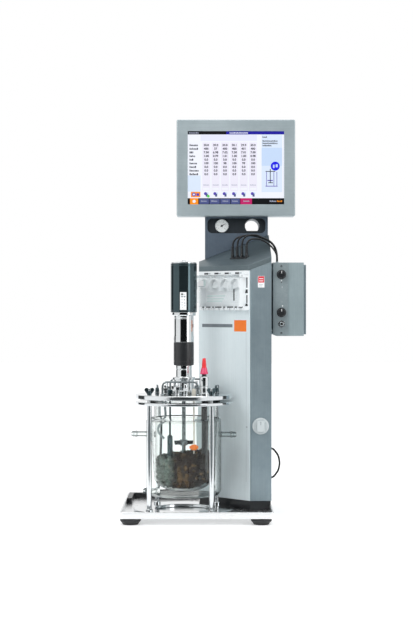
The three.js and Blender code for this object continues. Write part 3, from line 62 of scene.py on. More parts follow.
def addCamera():
    data = bpy.data.cameras.new("studioCamera")
    data.sensor_fit = "VERTICAL"
    data.sensor_height = studioCamera["sensor"]
    data.lens = studioCamera["lens"]
    data.clip_end = 60
    camera = bpy.data.objects.new("studioCamera", data)
    camera.location = (studioCamera["x"], studioCamera["y"], studioCamera["height"])
    camera.rotation_euler = (quarterTurn, 0, 0)
    bpy.context.scene.collection.objects.link(camera)
    bpy.context.scene.camera = camera


addCamera()

# In millimetres: each lead starts at a boot on the deck, rounds its corners and ends in a gland.
gasLeads = {
    "radius": 1.9,
    "points": 24,
    "corners": {
        "cable_1": [(36.8, 32.9, 572.4), (36.8, 32.9, 589), (68.8, 29.7, 597), (93.8, 26.6, 592.5),
                    (118.8, 23.4, 582), (131.8, 20.3, 560), (130.8, 20.3, 538.9)],
        "cable_2": [(46.6, 23.1, 572.4), (46.6, 23.1, 591.5), (73.8, 20.8, 597), (93.8, 18.4, 592.5),
                    (118.8, 16.1, 582), (131.8, 13.7, 560), (130.8, 13.7, 538.9)],
        "cable_3": [(56.4, 13.3, 572.4), (56.4, 13.3, 592), (83.8, 11.8, 597), (93.8, 10.2, 592.5),
                    (118.8, 8.7, 582), (131.8, 7.1, 560), (130.8, 7.1, 538.9)],
        "cable_4": [(66.1, 3.6, 572.4), (66.1, 3.6, 584), (88.8, 2.8, 589), (109.8, 2, 579),
                    (123.8, 1.3, 565),
                    (130.8, 0.5, 551), (130.8, 0.5, 538.9)],
    },
}
# A lead out of the tower's side near its back, and in again lower down.
sideLead = {
    "radius": 2.2,
    "route": [(121.8, 156, 126), (126.8, 156, 126), (134.4, 155, 119), (141.4, 154, 106),
              (141.4, 154, 82), (134.4, 155, 69), (126.8, 156, 62), (121.8, 156, 62)],
}


# Evenly spaced points of a smooth line that rounds each corner in turn.
def eased(corners, count, fine=60):
    turns = [Vector(corner) for corner in corners]
    dense = []
    for index in range(1, len(turns) - 1):
        start = turns[0] if index == 1 else turns[index - 1].lerp(turns[index], 0.5)
        end = turns[-1] if index == len(turns) - 2 else turns[index].lerp(turns[index + 1], 0.5)
        for step in range(fine):
            share = step / fine
            dense.append(start.lerp(turns[index], share).lerp(turns[index].lerp(end, share), share))
    dense.append(turns[-1])
    travelled = [0.0]
    for before, after in zip(dense, dense[1:]):
        travelled.append(travelled[-1] + (after - before).length)
    points, reached = [dense[0]], 0
    for step in range(1, count):
        goal = travelled[-1] * step / count
        while travelled[reached + 1] < goal:
            reached += 1
        share = (goal - travelled[reached]) / (travelled[reached + 1] - travelled[reached])
        points.append(dense[reached].lerp(dense[reached + 1], share))
    return points + [dense[-1]]


def curveThrough(name, points, radius):
    curve = bpy.data.curves.new(name, "CURVE")
    curve.dimensions = "3D"
    curve.resolution_u = 10
    curve.bevel_depth = radius / mm
    curve.bevel_resolution = 5
    curve.use_fill_caps = True
    spline = curve.splines.new("BEZIER")
    spline.bezier_points.add(len(points) - 1)
    for knot, point in zip(spline.bezier_points, points):
        knot.co = point
        knot.handle_left_type = "AUTO"
        knot.handle_right_type = "AUTO"
        knot.radius = mm
    piece = bpy.data.objects.new(name, curve)
    bpy.context.scene.collection.objects.link(piece)
    bpy.context.view_layer.update()
    return piece


def layLead(node, route, radius):
    points = [Vector(point) * mm for point in route]
    lead = curveThrough(node + "_lead", points, radius * mm)
    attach(lead, bodyOf[node])
    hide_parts(node)
    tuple(points[0])
    return lead


leads = []
for node, corners in gasLeads["corners"].items():
    leads.append(layLead(node, eased(corners, gasLeads["points"]), gasLeads["radius"]))
leads.append(layLead("loop_cable", sideLead["route"], sideLead["radius"]))

print("stage: studio")

studio = {"floor": 14, "wallLight": 0.9, "keyPower": 26, "fillPower": 15, "topPower": 14}


def addFloor(material):
    bpy.ops.object.select_all(action="DESELECT")
    bpy.ops.mesh.primitive_grid_add(x_subdivisions=4, y_subdivisions=4, size=studio["floor"],
        location=(0, 2, 0))
    floor = bpy.context.object
    floor.name = "studioFloor"
    floor.data.materials.append(material)
    return floor


# A card out of the picture, seen only in reflections, as studios use to draw bright metal.
def addFlag(name, location, width, height, turns, shade, through):
    bpy.ops.object.select_all(action="DESELECT")
    bpy.ops.mesh.primitive_plane_add(size=1, location=location, rotation=turns)
    flag = bpy.context.object
    flag.name = name
    flag.scale = (width, height, 1)
    flag.visible_camera = False
    flag.visible_diffuse = False
    flag.visible_shadow = False
    flag.visible_transmission = through
    flag.data.materials.append(makeFlagMaterial(shade))


def addSoftbox(name, location, target, width, height, power):
    data = bpy.data.lights.new(name, "AREA")
    data.shape = "RECTANGLE"
    data.size = width
    data.size_y = height
    data.energy = power
    light = bpy.data.objects.new(name, data)
    light.location = location
    light.rotation_euler = (Vector(target) - Vector(location)).to_track_quat("-Z", "Y").to_euler()
    bpy.context.scene.collection.objects.link(light)


# Links an output to a socket, or sets the socket to a plain value.
def feed(tree, value, socket):
    if isinstance(value, bpy.types.NodeSocket):
        tree.links.new(value, socket)
    else:
        socket.default_value = value


def mathNode(tree, operation, first, second):
    node = tree.nodes.new("ShaderNodeMath")
    node.operation = operation
    feed(tree, first, node.inputs[0])
    feed(tree, second, node.inputs[1])
    return node.outputs[0]


# 1 where a ray sees the backdrop straight on, in a mirror or through glass.
def seenRays(tree):
    path = tree.nodes.new("ShaderNodeLightPath").outputs
    straight = mathNode(tree, "MAXIMUM", path["Is Camera Ray"], path["Is Glossy Ray"])
    return mathNode(tree, "MAXIMUM", straight, path["Is Transmission Ray"])


def buildWorld():
    world = bpy.data.worlds.new("studioWorld")
    bpy.context.scene.world = world
    world.use_nodes = True
    tree = world.node_tree
    tree.nodes.clear()
    bright = tree.nodes.new("ShaderNodeBackground")
    bright.inputs["Color"].default_value = (1, 1, 1, 1)
    bright.inputs["Strength"].default_value = 1
    soft = tree.nodes.new("ShaderNodeBackground")
    soft.inputs["Color"].default_value = (0.97, 0.985, 1, 1)
    soft.inputs["Strength"].default_value = studio["wallLight"]
    mix = tree.nodes.new("ShaderNodeMixShader")
    output = tree.nodes.new("ShaderNodeOutputWorld")
    tree.links.new(seenRays(tree), mix.inputs[0])
    tree.links.new(soft.outputs[0], mix.inputs[1])
    tree.links.new(bright.outputs[0], mix.inputs[2])
    tree.links.new(mix.outputs[0], output.inputs["Surface"])


def makeFloorMaterial():
    material = bpy.data.materials.new("paleFloor")
    material.use_nodes = True
    tree = material.node_tree
    shader = tree.nodes["Principled BSDF"]
    shader.inputs["Base Color"].default_value = (0.9, 0.9, 0.9, 1)
    shader.inputs["Roughness"].default_value = 0.6
    shader.inputs["Specular IOR Level"].default_value = 0.2
    shader.inputs["Emission Color"].default_value = (1, 1, 1, 1)
    tree.links.new(mathNode(tree, "MULTIPLY", seenRays(tree), 0.3), shader.inputs["Emission Strength"])
    return material


def makeFlagMaterial(shade):
    name = "card%d" % round(1000 * shade)
    material = bpy.data.materials.get(name)
    if material is None:
        material = bpy.data.materials.new(name)
        material.use_nodes = True
        shader = material.node_tree.nodes["Principled BSDF"]
        shader.inputs["Base Color"].default_value = (shade, shade * 1.1, shade * 1.15, 1)
        shader.inputs["Roughness"].default_value = 0.9
        shader.inputs["Specular IOR Level"].default_value = 0
    return material


# Name, place, width, height, tilt and turn in degrees, and shade of each card.
cards = (
    ("frontCard", (0.0, -4.2, 0.85), 7.0, 1.7, 90, 0, 0.008),
    ("lowCard", (0.0, -2.5, 0.003), 4.6, 3.4, 0, 0, 0.15),
    ("leftRearCard", (-2.6, 1.4, 1.0), 1.6, 3.4, 90, 60, 0.03),
    ("rightRearCard", (2.7, 1.5, 1.0), 1.6, 3.4, 90, -60, 0.03),
)


buildWorld()
addFloor(makeFloorMaterial())
for name, location, width, height, tilt, turn, shade in cards:
    addFlag(name, location, width, height, (math.radians(tilt), 0, math.radians(turn)), shade,
        name == "frontCard")
addSoftbox("keyLight", (-1.5, -2.2, 1.9), (0, 0, 0.35), 1.1, 1.6, studio["keyPower"])
addSoftbox("fillLight", (2.1, -1.9, 1.1), (0, 0, 0.4), 0.9, 1.7, studio["fillPower"])
addSoftbox("topLight", (0.1, 0.3, 2.4), (0, 0, 0.4), 1.6, 1.2, studio["topPower"])

print("stage: finishes")


def startGroup(name, inputs, outputs):
    group = bpy.data.node_groups.new(name, "ShaderNodeTree")
    for label, kind, value in inputs:
        socket = group.interface.new_socket(name=label, in_out="INPUT", socket_type=kind)
        if value is not None:
            socket.default_value = value
    for label, kind in outputs:
        group.interface.new_socket(name=label, in_out="OUTPUT", socket_type=kind)
    return group, group.nodes.new("NodeGroupInput"), group.nodes.new("NodeGroupOutput")


def noiseNode(tree, vector, scale, detail, roughness=0.55):
    node = tree.nodes.new("ShaderNodeTexNoise")
    node.inputs["Detail"].default_value = detail
    node.inputs["Roughness"].default_value = roughness
    feed(tree, scale, node.inputs["Scale"])
    tree.links.new(vector, node.inputs["Vector"])
    return node.outputs["Fac"]


def rangeNode(tree, value, low, high, newLow=0.0, newHigh=1.0):
    node = tree.nodes.new("ShaderNodeMapRange")
    node.inputs["From Min"].default_value = low
    node.inputs["From Max"].default_value = high
    node.inputs["To Min"].default_value = newLow
    node.inputs["To Max"].default_value = newHigh
    tree.links.new(value, node.inputs["Value"])
    return node.outputs["Result"]


# Fine parallel lines left by a belt: Across is how fast the pattern changes along X, Y and Z.
def makeBrushLines():
    group, given, result = startGroup(
        "brushLines", [("Vector", "NodeSocketVector", None), ("Across", "NodeSocketVector", (600, 600, 12))],
        [("Lines", "NodeSocketFloat")])
    stretch = group.nodes.new("ShaderNodeVectorMath")
    stretch.operation = "MULTIPLY"
    group.links.new(given.outputs["Vector"], stretch.inputs[0])
    group.links.new(given.outputs["Across"], stretch.inputs[1])
    lines = noiseNode(group, stretch.outputs[0], 1, 3, 0.65)
    group.links.new(rangeNode(group, lines, 0.3, 0.7), result.inputs["Lines"])
    return group


# Slow cloudy change from handling and cleaning.
def makeSmudges():
    group, given, result = startGroup(
        "smudges", [("Vector", "NodeSocketVector", None), ("Scale", "NodeSocketFloat", 14)],
        [("Mask", "NodeSocketFloat")])
    broad = noiseNode(group, given.outputs["Vector"], given.outputs["Scale"], 3)
    fine = noiseNode(group, given.outputs["Vector"], mathNode(group, "MULTIPLY", given.outputs["Scale"],
        9), 4, 0.7)
    both = mathNode(group, "ADD", mathNode(group, "MULTIPLY", broad, 0.7),
        mathNode(group, "MULTIPLY", fine, 0.3))
    group.links.new(rangeNode(group, both, 0.34, 0.66), result.inputs["Mask"])
    return group


# Where an outside edge is: the rounded normal leaves the true one there.
def makeEdgeWear():
    group, given, result = startGroup(
        "edgeWear", [("Vector", "NodeSocketVector", None), ("Reach", "NodeSocketFloat", 0.001)],
        [("Mask", "NodeSocketFloat")])
    rounded = group.nodes.new("ShaderNodeBevel")
    rounded.samples = 4
    group.links.new(given.outputs["Reach"], rounded.inputs["Radius"])
    real = group.nodes.new("ShaderNodeNewGeometry")
    facing = group.nodes.new("ShaderNodeVectorMath")
    facing.operation = "DOT_PRODUCT"
    group.links.new(rounded.outputs["Normal"], facing.inputs[0])
    group.links.new(real.outputs["Normal"], facing.inputs[1])
    edge = rangeNode(group, facing.outputs["Value"], 0.995, 0.86)
    broken = rangeNode(group, noiseNode(group, given.outputs["Vector"], 260, 3), 0.42, 0.6)
    group.links.new(mathNode(group, "MULTIPLY", edge, broken), result.inputs["Mask"])
    return group


# The fine skin of a moulded, cast or sprayed surface.
def makeSkin():
    group, given, result = startGroup(
        "skin", [("Vector", "NodeSocketVector", None), ("Scale", "NodeSocketFloat", 1200)],
        [("Height", "NodeSocketFloat")])
    fine = noiseNode(group, given.outputs["Vector"], given.outputs["Scale"], 2)
    group.links.new(fine, result.inputs["Height"])
    return group


effects = {"brush": makeBrushLines(), "smudge": makeSmudges(), "wear": makeEdgeWear(), "skin": makeSkin()}


def addEffect(tree, kind, vector, **values):
    node = tree.nodes.new("ShaderNodeGroup")
    node.node_tree = effects[kind]
    tree.links.new(vector, node.inputs["Vector"])
    for label, value in values.items():
        node.inputs[label].default_value = value
    return node.outputs[0]


def mixColor(tree, factor, first, second):
    node = tree.nodes.new("ShaderNodeMix")
    node.data_type = "RGBA"
    feed(tree, factor, node.inputs["Factor"])
    for socket, value in ((node.inputs[6], first), (node.inputs[7], second)):
        feed(tree, (*value, 1) if isinstance(value, tuple) else value, socket)
    return node.outputs[2]


def startMaterial(name):
    material = bpy.data.materials.new(name)
    material.use_nodes = True
    tree = material.node_tree
    coordinates = tree.nodes.new("ShaderNodeTexCoord")
    return material, tree, tree.nodes["Principled BSDF"], coordinates.outputs["Object"]


def addBump(tree, shader, height, depth, strength=1.0):
    bump = tree.nodes.new("ShaderNodeBump")
    bump.inputs["Distance"].default_value = depth
    bump.inputs["Strength"].default_value = strength
    tree.links.new(height, bump.inputs["Height"])
    tree.links.new(bump.outputs["Normal"], shader.inputs["Normal"])


upAndDown = (700, 700, 9)
leftToRight = (9, 9, 700)
roundTheAxis = (60, 60, 900)
evenGrain = (420, 420, 420)

# One row for each metal, in the order of the columns. Tint and shade are the two ends of the slow
# colour change, brush is the grain along x, y and z, and edge is what wear uncovers.
metalColumns = ("tint", "shade", "roughness", "spread", "brush", "depth", "metallic", "edge", "wear")
metalRows = {
    "polishedSteel": ((0.76, 0.785, 0.795), (0.66, 0.69, 0.705), 0.09, 0.06, roundTheAxis, 0.000001, 1.0,
        (0.95, 0.96, 0.96), 0.2),
    "handleSteel": ((0.26, 0.29, 0.30), (0.20, 0.23, 0.24), 0.22, 0.08, roundTheAxis, 0.000004, 1.0,
        (0.5, 0.54, 0.55), 0.2),
    "traySteel": ((0.90, 0.91, 0.915), (0.82, 0.84, 0.85), 0.26, 0.1, leftToRight, 0.000006, 1.0,
        (0.97, 0.97, 0.97), 0.3),
    "brushedSteel": ((0.32, 0.395, 0.415), (0.265, 0.335, 0.355), 0.48, 0.12, upAndDown, 0.00001, 0.35,
        (0.62, 0.68, 0.70), 0.4),
    # The next row is a lit copy of the column's brushed steel: painted reflection of the bright studio side that
    # the slanted front panel faces.
    "paintedSheenSteel": ((0.73, 0.81, 0.83), (0.67, 0.76, 0.785), 0.33, 0.1, upAndDown, 0.000008, 0.12,
        (0.86, 0.9, 0.9), 0.4),
    "speckledSteel": ((0.36, 0.43, 0.45), (0.27, 0.33, 0.35), 0.45, 0.16, evenGrain, 0.00002, 0.6,
        (0.66, 0.71, 0.73), 0.4),
    "displaySteel": ((0.44, 0.51, 0.535), (0.36, 0.43, 0.455), 0.42, 0.12, leftToRight, 0.00001, 0.5,
        (0.60, 0.66, 0.68), 0.3),
    "columnSteel": ((0.31, 0.385, 0.42), (0.24, 0.31, 0.345), 0.38, 0.12, upAndDown, 0.00001, 0.55,
        (0.5, 0.56, 0.58), 0.4),
    "hoodSteel": ((0.15, 0.19, 0.205), (0.105, 0.14, 0.155), 0.42, 0.14, leftToRight, 0.00001, 0.5,
        (0.4, 0.46, 0.48), 0.35),
    "neckSteel": ((0.15, 0.195, 0.245), (0.105, 0.14, 0.185), 0.42, 0.14, upAndDown, 0.00001, 0.5,
        (0.36, 0.42, 0.46), 0.35),
    # The next row is painted shade: a darker copy of the neck's steel for the inside of its sunk window.
    "pocketPaintedShade": ((0.030, 0.040, 0.050), (0.018, 0.026, 0.034), 0.5, 0.14, upAndDown, 0.00001, 0.3,
        (0.1, 0.12, 0.14), 0.2),
    "anodised": ((0.062, 0.094, 0.104), (0.045, 0.07, 0.078), 0.10, 0.05, upAndDown, 0.000005, 0.8,
        (0.3, 0.34, 0.36), 0.3),
}
metals = {name: dict(zip(metalColumns, row)) for name, row in metalRows.items()}


def makeMetal(name, spec):
    material, tree, shader, place = startMaterial(name)
    lines = addEffect(tree, "brush", place, Across=spec["brush"])
    cloud = addEffect(tree, "smudge", place, Scale=11.0)
    edges = addEffect(tree, "wear", place, Reach=0.0009)
    base = mixColor(tree, cloud, spec["shade"], spec["tint"])
    lined = mixColor(tree, mathNode(tree, "MULTIPLY", lines, 0.35), base,
        tuple(0.82 * part for part in spec["shade"]))
    worn = mixColor(tree, mathNode(tree, "MULTIPLY", edges, spec["wear"]), lined, spec["edge"])
    tree.links.new(worn, shader.inputs["Base Color"])
    shader.inputs["Metallic"].default_value = spec["metallic"]
    uneven = mathNode(tree, "ADD", mathNode(tree, "MULTIPLY", cloud, 0.6),
        mathNode(tree, "MULTIPLY", lines, 0.4))
    low, high = spec["roughness"] - spec["spread"] / 2, spec["roughness"] + spec["spread"] / 2
    tree.links.new(rangeNode(tree, uneven, 0, 1, low, high), shader.inputs["Roughness"])
    addBump(tree, shader, lines, spec["depth"])
    return material


plasticColumns = ("tint", "shade", "roughness", "skin", "depth", "edge", "wear", "coat")
plasticRows = {
    "whitePlastic": ((0.84, 0.87, 0.88), (0.78, 0.82, 0.835), 0.38, 900.0, 0.00003, (0.93, 0.93, 0.93),
        0.2, 0.0),
    # The next row is the white plastic dimmed: painted shade, so that the white knob reads pale grey.
    "knobWhitePaintedShade": ((0.55, 0.60, 0.61), (0.49, 0.54, 0.55), 0.34, 900.0, 0.00003, (0.75, 0.78, 0.78), 0.3,
        0.1),
    "blackPlastic": ((0.014, 0.016, 0.018), (0.007, 0.008, 0.01), 0.36, 1100.0, 0.00003,
        (0.07, 0.08, 0.085), 0.5, 0.15),
    "blackRubber": ((0.022, 0.023, 0.025), (0.012, 0.013, 0.014), 0.55, 700.0, 0.00006,
        (0.08, 0.08, 0.085), 0.5, 0.0),
    "leadJacket": ((0.004, 0.0045, 0.005), (0.002, 0.0025, 0.003), 0.42, 500.0, 0.00002,
        (0.02, 0.02, 0.02), 0.0, 0.0),
    "redCap": ((0.80, 0.022, 0.03), (0.66, 0.012, 0.02), 0.3, 600.0, 0.00003, (0.9, 0.25, 0.25), 0.2, 0.3),
    "pinkCap": ((0.72, 0.055, 0.15), (0.60, 0.035, 0.11), 0.3, 600.0, 0.00003, (0.9, 0.4, 0.5), 0.3, 0.3),
    "orangePlastic": ((1.0, 0.24, 0.004), (0.92, 0.19, 0.003), 0.38, 600.0, 0.00003, (0.95, 0.5, 0.2),
        0.2, 0.1),
    "paleSilicone": ((0.70, 0.67, 0.60), (0.60, 0.57, 0.50), 0.5, 500.0, 0.00005, (0.8, 0.78, 0.72), 0.1,
        0.0),
    "greyHose": ((0.30, 0.35, 0.36), (0.2, 0.25, 0.26), 0.32, 400.0, 0.00004, (0.5, 0.55, 0.55), 0.1, 0.2),
    "dialWhite": ((0.80, 0.82, 0.81), (0.70, 0.73, 0.73), 0.5, 800.0, 0.00001, (0.8, 0.8, 0.8), 0.0, 0.0),
    "inkBlack": ((0.02, 0.022, 0.026), (0.012, 0.013, 0.016), 0.5, 1500.0, 0.000008, (0.05, 0.05, 0.05),
        0.0, 0.0),
    "inkGrey": ((0.20, 0.23, 0.25), (0.14, 0.17, 0.19), 0.5, 1500.0, 0.000008, (0.3, 0.3, 0.3), 0.0, 0.0),
    "inkPale": ((0.42, 0.47, 0.49), (0.36, 0.41, 0.43), 0.5, 1500.0, 0.000008, (0.4, 0.4, 0.4), 0.0, 0.0),
    "inkMist": ((0.58, 0.70, 0.69), (0.52, 0.64, 0.63), 0.5, 1500.0, 0.000008, (0.6, 0.7, 0.7), 0.0, 0.0),
    "inkWhite": ((0.85, 0.86, 0.86), (0.78, 0.79, 0.8), 0.45, 1500.0, 0.000008, (0.9, 0.9, 0.9), 0.0, 0.0),
    "inkOrange": ((0.88, 0.20, 0.012), (0.80, 0.16, 0.01), 0.42, 1500.0, 0.000008, (0.9, 0.4, 0.1), 0.0,
        0.0),
    "inkRed": ((0.70, 0.03, 0.05), (0.62, 0.02, 0.04), 0.42, 1500.0, 0.000008, (0.8, 0.2, 0.2), 0.0, 0.0),
}
plastics = {name: dict(zip(plasticColumns, row)) for name, row in plasticRows.items()}


def makePlastic(name, spec):
    material, tree, shader, place = startMaterial(name)
    cloud = addEffect(tree, "smudge", place, Scale=16.0)
    base = mixColor(tree, cloud, spec["shade"], spec["tint"])
    if spec["wear"]:
        edges = addEffect(tree, "wear", place, Reach=0.0007)
        base = mixColor(tree, mathNode(tree, "MULTIPLY", edges, spec["wear"]), base, spec["edge"])
    tree.links.new(base, shader.inputs["Base Color"])
    tree.links.new(rangeNode(tree, cloud, 0, 1, spec["roughness"] - 0.05, spec["roughness"] + 0.07),
        shader.inputs["Roughness"])
    shader.inputs["Coat Weight"].default_value = spec["coat"]
    addBump(tree, shader, addEffect(tree, "skin", place, Scale=spec["skin"]), spec["depth"], 0.6)
    return material


# After the tint come the strength and the start of the painted dark rim at each glass's turned-away edge.
glasses = {
    "vesselGlass": {"tint": (0.97, 0.99, 0.982), "outline": 0.7, "from": 0.55, "ior": 1.2, "roughness": 0.0,
                    "ripple": 0.00010, "clear": 0.0},
    "spoutGlass": {"tint": (0.95, 0.98, 0.975), "outline": 1.0, "from": 0.08, "ior": 1.3, "roughness": 0.0,
                   "ripple": 0.00004, "clear": 0.0},
    "coverAcrylic": {"tint": (0.95, 0.985, 0.99), "outline": 0.2, "from": 0.8, "ior": 1.25,
                     "roughness": 0.03,
                     "ripple": 0.00003, "clear": 0.74},
    "dialLens": {"tint": (0.97, 0.98, 0.98), "outline": 0.0, "from": 0.8, "ior": 1.2, "roughness": 0.02,
                 "ripple": 0.00002, "clear": 0.4},
}


def makeGlass(name, spec):
    material, tree, shader, place = startMaterial(name)
    cloud = addEffect(tree, "smudge", place, Scale=9.0)
    clean = mixColor(tree, cloud, tuple(0.985 * part for part in spec["tint"]), spec["tint"])
    tree.links.new(clean, shader.inputs["Base Color"])
    tree.links.new(rangeNode(tree, cloud, 0, 1, spec["roughness"], spec["roughness"] + 0.012),
        shader.inputs["Roughness"])
    shader.inputs["Transmission Weight"].default_value = 1
    shader.inputs["IOR"].default_value = spec["ior"]
    addBump(tree, shader, noiseNode(tree, place, 22, 2), spec["ripple"])
    passLamps(tree, darkRim(tree, shader, spec["outline"], spec["from"]), spec["clear"])
    return material


# Painted shade: a dark diffuse colour is mixed in where round glass turns away, standing in for the dark line that
# refraction of the dark surroundings draws there against a white wall.
def darkRim(tree, shader, strength, start):
    facing = tree.nodes.new("ShaderNodeLayerWeight")
    facing.inputs["Blend"].default_value = 0.5
    tone = tree.nodes.new("ShaderNodeBsdfDiffuse")
    tone.inputs["Color"].default_value = (0.045, 0.065, 0.07, 1)
    mix = tree.nodes.new("ShaderNodeMixShader")
    tree.links.new(rangeNode(tree, facing.outputs["Facing"], start, 1.0, 0.0, strength), mix.inputs[0])
    tree.links.new(shader.outputs["BSDF"], mix.inputs[1])
    tree.links.new(tone.outputs["BSDF"], mix.inputs[2])
    return mix


# Lamps shine through the glass, and a share of what lies behind it shows unbent.
def passLamps(tree, shader, clear):
    path = tree.nodes.new("ShaderNodeLightPath")
    through = mathNode(tree, "MAXIMUM", path.outputs["Is Shadow Ray"], path.outputs["Is Diffuse Ray"])
    share = mathNode(tree, "MAXIMUM", mathNode(tree, "MULTIPLY", through, 0.97), clear)
    clearShader = tree.nodes.new("ShaderNodeBsdfTransparent")
    mix = tree.nodes.new("ShaderNodeMixShader")
    tree.links.new(share, mix.inputs[0])
    tree.links.new(shader.outputs[0], mix.inputs[1])
    tree.links.new(clearShader.outputs["BSDF"], mix.inputs[2])
    tree.links.new(mix.outputs[0], tree.nodes["Material Output"].inputs["Surface"])


# A lit picture element: its own colour, broken by the panel's rows and a slow fall-off.
screenTints = {
    "glowWhite": (0.90, 0.92, 1.0), "glowPaleBlue": (0.58, 0.72, 0.95), "glowLilac": (0.80, 0.82, 0.97),
    "glowNavy": (0.015, 0.012, 0.34), "glowBlack": (0.004, 0.004, 0.006), "glowOrange": (1.0, 0.30, 0.012),
    "glowSlate": (0.08, 0.10, 0.26), "glowMagenta": (0.55, 0.015, 0.14), "glowBlue": (0.012, 0.010, 0.80),
    "glowViolet": (0.10, 0.06, 0.46), "glowGreen": (0.10, 0.62, 0.10), "glowText": (0.006, 0.008, 0.03),
    "glowFaint": (0.40, 0.43, 0.55), "glowSky": (0.72, 0.82, 0.97), "glowColumn": (0.86, 0.84, 0.95),
}


def makeGlow(name, tint):
    material, tree, shader, place = startMaterial(name)
    rows = tree.nodes.new("ShaderNodeTexWave")
    rows.wave_type = "BANDS"
    rows.bands_direction = "Z"
    rows.inputs["Scale"].default_value = 600
    tree.links.new(place, rows.inputs["Vector"])
    cloud = addEffect(tree, "smudge", place, Scale=5.0)
    shadeFactor = mathNode(tree, "ADD", mathNode(tree, "MULTIPLY", rows.outputs["Fac"], 0.05),
        mathNode(tree, "MULTIPLY", cloud, 0.06))
    color = mixColor(tree, shadeFactor, tint, tuple(0.7 * part for part in tint))
    tree.links.new(mixColor(tree, 0.7, color, (0.0, 0.0, 0.0)), shader.inputs["Base Color"])
    tree.links.new(color, shader.inputs["Emission Color"])
    shader.inputs["Emission Strength"].default_value = 0.66
    shader.inputs["Roughness"].default_value = 0.4
    shader.inputs["Specular IOR Level"].default_value = 0.2
    return material


# Loose damp granules: dark lumps, tan ones low in the middle, and paler greenish streaks towards the left wall.
heapTints = {"tanAt": (-0.066, -0.112, 0.088), "tanReach": 0.034, "paleLeftOf": -0.092, "paleFade": 0.012}


def makeGranules():
    material, tree, shader, place = startMaterial("granules")
    cells = tree.nodes.new("ShaderNodeTexVoronoi")
    cells.inputs["Scale"].default_value = 230
    tree.links.new(place, cells.inputs["Vector"])
    cloud = addEffect(tree, "smudge", place, Scale=22.0)
    away = tree.nodes.new("ShaderNodeVectorMath")
    away.operation = "DISTANCE"
    away.inputs[1].default_value = heapTints["tanAt"]
    tree.links.new(place, away.inputs[0])
    near = rangeNode(tree, away.outputs["Value"], heapTints["tanReach"], 0.006, 0.0, 0.16)
    patches = rangeNode(tree, mathNode(tree, "ADD", noiseNode(tree, place, 90, 3), near), 0.58, 0.68)
    dark = mixColor(tree, cloud, (0.006, 0.004, 0.003), (0.028, 0.016, 0.011))
    tan = mixColor(tree, cells.outputs["Color"], (0.05, 0.028, 0.012), (0.19, 0.118, 0.052))
    heap = mixColor(tree, patches, dark, tan)
    parts = tree.nodes.new("ShaderNodeSeparateXYZ")
    tree.links.new(place, parts.inputs[0])
    edge = mathNode(tree, "ADD", parts.outputs["X"], mathNode(tree, "MULTIPLY",
        noiseNode(tree, place, 60, 2), 0.012))
    limit = heapTints["paleLeftOf"]
    side = rangeNode(tree, edge, limit + heapTints["paleFade"], limit, 0.0, 0.9)
    streaks = rangeNode(tree, noiseNode(tree, place, 55, 3), 0.4, 0.62, 0.45, 1.0)
    pale = mixColor(tree, cells.outputs["Color"], (0.10, 0.14, 0.12), (0.24, 0.31, 0.27))
    tree.links.new(mixColor(tree, mathNode(tree, "MULTIPLY", side, streaks), heap, pale),
        shader.inputs["Base Color"])
    tree.links.new(rangeNode(tree, cloud, 0, 1, 0.5, 0.85), shader.inputs["Roughness"])
    shader.inputs["Specular IOR Level"].default_value = 0.15
    addBump(tree, shader, cells.outputs["Distance"], 0.0014)
    return material


finishes = {name: makeMetal(name, spec) for name, spec in metals.items()}
finishes.update({name: makePlastic(name, spec) for name, spec in plastics.items()})
finishes.update({name: makeGlass(name, spec) for name, spec in glasses.items()})
finishes.update({name: makeGlow(name, tint) for name, tint in screenTints.items()})
finishes["granules"] = makeGranules()

for lead in leads:
    lead.data.materials.append(finishes["leadJacket"])

print("stage: workshop")


def deselect():
    if bpy.context.object is not None and bpy.context.object.mode != "OBJECT":
        bpy.ops.object.mode_set(mode="OBJECT")
    bpy.ops.object.select_all(action="DESELECT")


def activate(piece):
    deselect()
    piece.select_set(True)
    bpy.context.view_layer.objects.active = piece
    return piece


def middleOf(node):
    low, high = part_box(node)
    return (low + high) / 2


def place(piece, location=(0, 0, 0), rotation=(0, 0, 0)):
    activate(piece)
    piece.location = location
    piece.rotation_euler = rotation
    bpy.ops.object.transform_apply(location=True, rotation=True, scale=True)
    return piece


def soften(piece, width=0.0004, segments=2, angle=30):
    activate(piece)
    if width:
        bevel = piece.modifiers.new("edges", "BEVEL")
        bevel.width = width
        bevel.segments = segments
        bevel.limit_method = "ANGLE"
        bevel.angle_limit = math.radians(angle)
        bpy.ops.object.modifier_apply(modifier=bevel.name)
    bpy.ops.object.shade_smooth_by_angle(angle=math.radians(angle))
    return piece


# Draws a line of (radius, height) points by extruding one vertex, then spins it round Z.
def spinProfile(name, profile, steps=64, angle=2 * math.pi):
    deselect()
    bpy.ops.mesh.primitive_plane_add(size=0.001, location=(0, 0, 0))
    piece = bpy.context.object
    piece.name = name
    bpy.ops.object.mode_set(mode="EDIT")
    bpy.ops.mesh.merge(type="CENTER")
    bpy.ops.transform.translate(value=(profile[0][0], 0, profile[0][1]))
    for before, after in zip(profile, profile[1:]):
        step = (after[0] - before[0], 0, after[1] - before[1])
        bpy.ops.mesh.extrude_vertices_move(TRANSFORM_OT_translate={"value": step})
    bpy.ops.mesh.select_all(action="SELECT")
    bpy.ops.mesh.spin(steps=steps, angle=angle, center=(0, 0, 0), axis=(0, 0, 1))
    bpy.ops.mesh.select_all(action="SELECT")
    bpy.ops.mesh.remove_doubles(threshold=0.000002)
    bpy.ops.mesh.normals_make_consistent(inside=False)
    bpy.ops.object.mode_set(mode="OBJECT")
    return piece


def turned(name, profile, steps, edge):
    return soften(spinProfile(name, profile, steps), edge)


# Names a new primitive, and puts its place, turn and size into its mesh.
def settled(name, scale=(1, 1, 1)):
    piece = bpy.context.object
    piece.name = name
    piece.scale = scale
    bpy.ops.object.transform_apply(location=True, rotation=True, scale=True)
    return piece


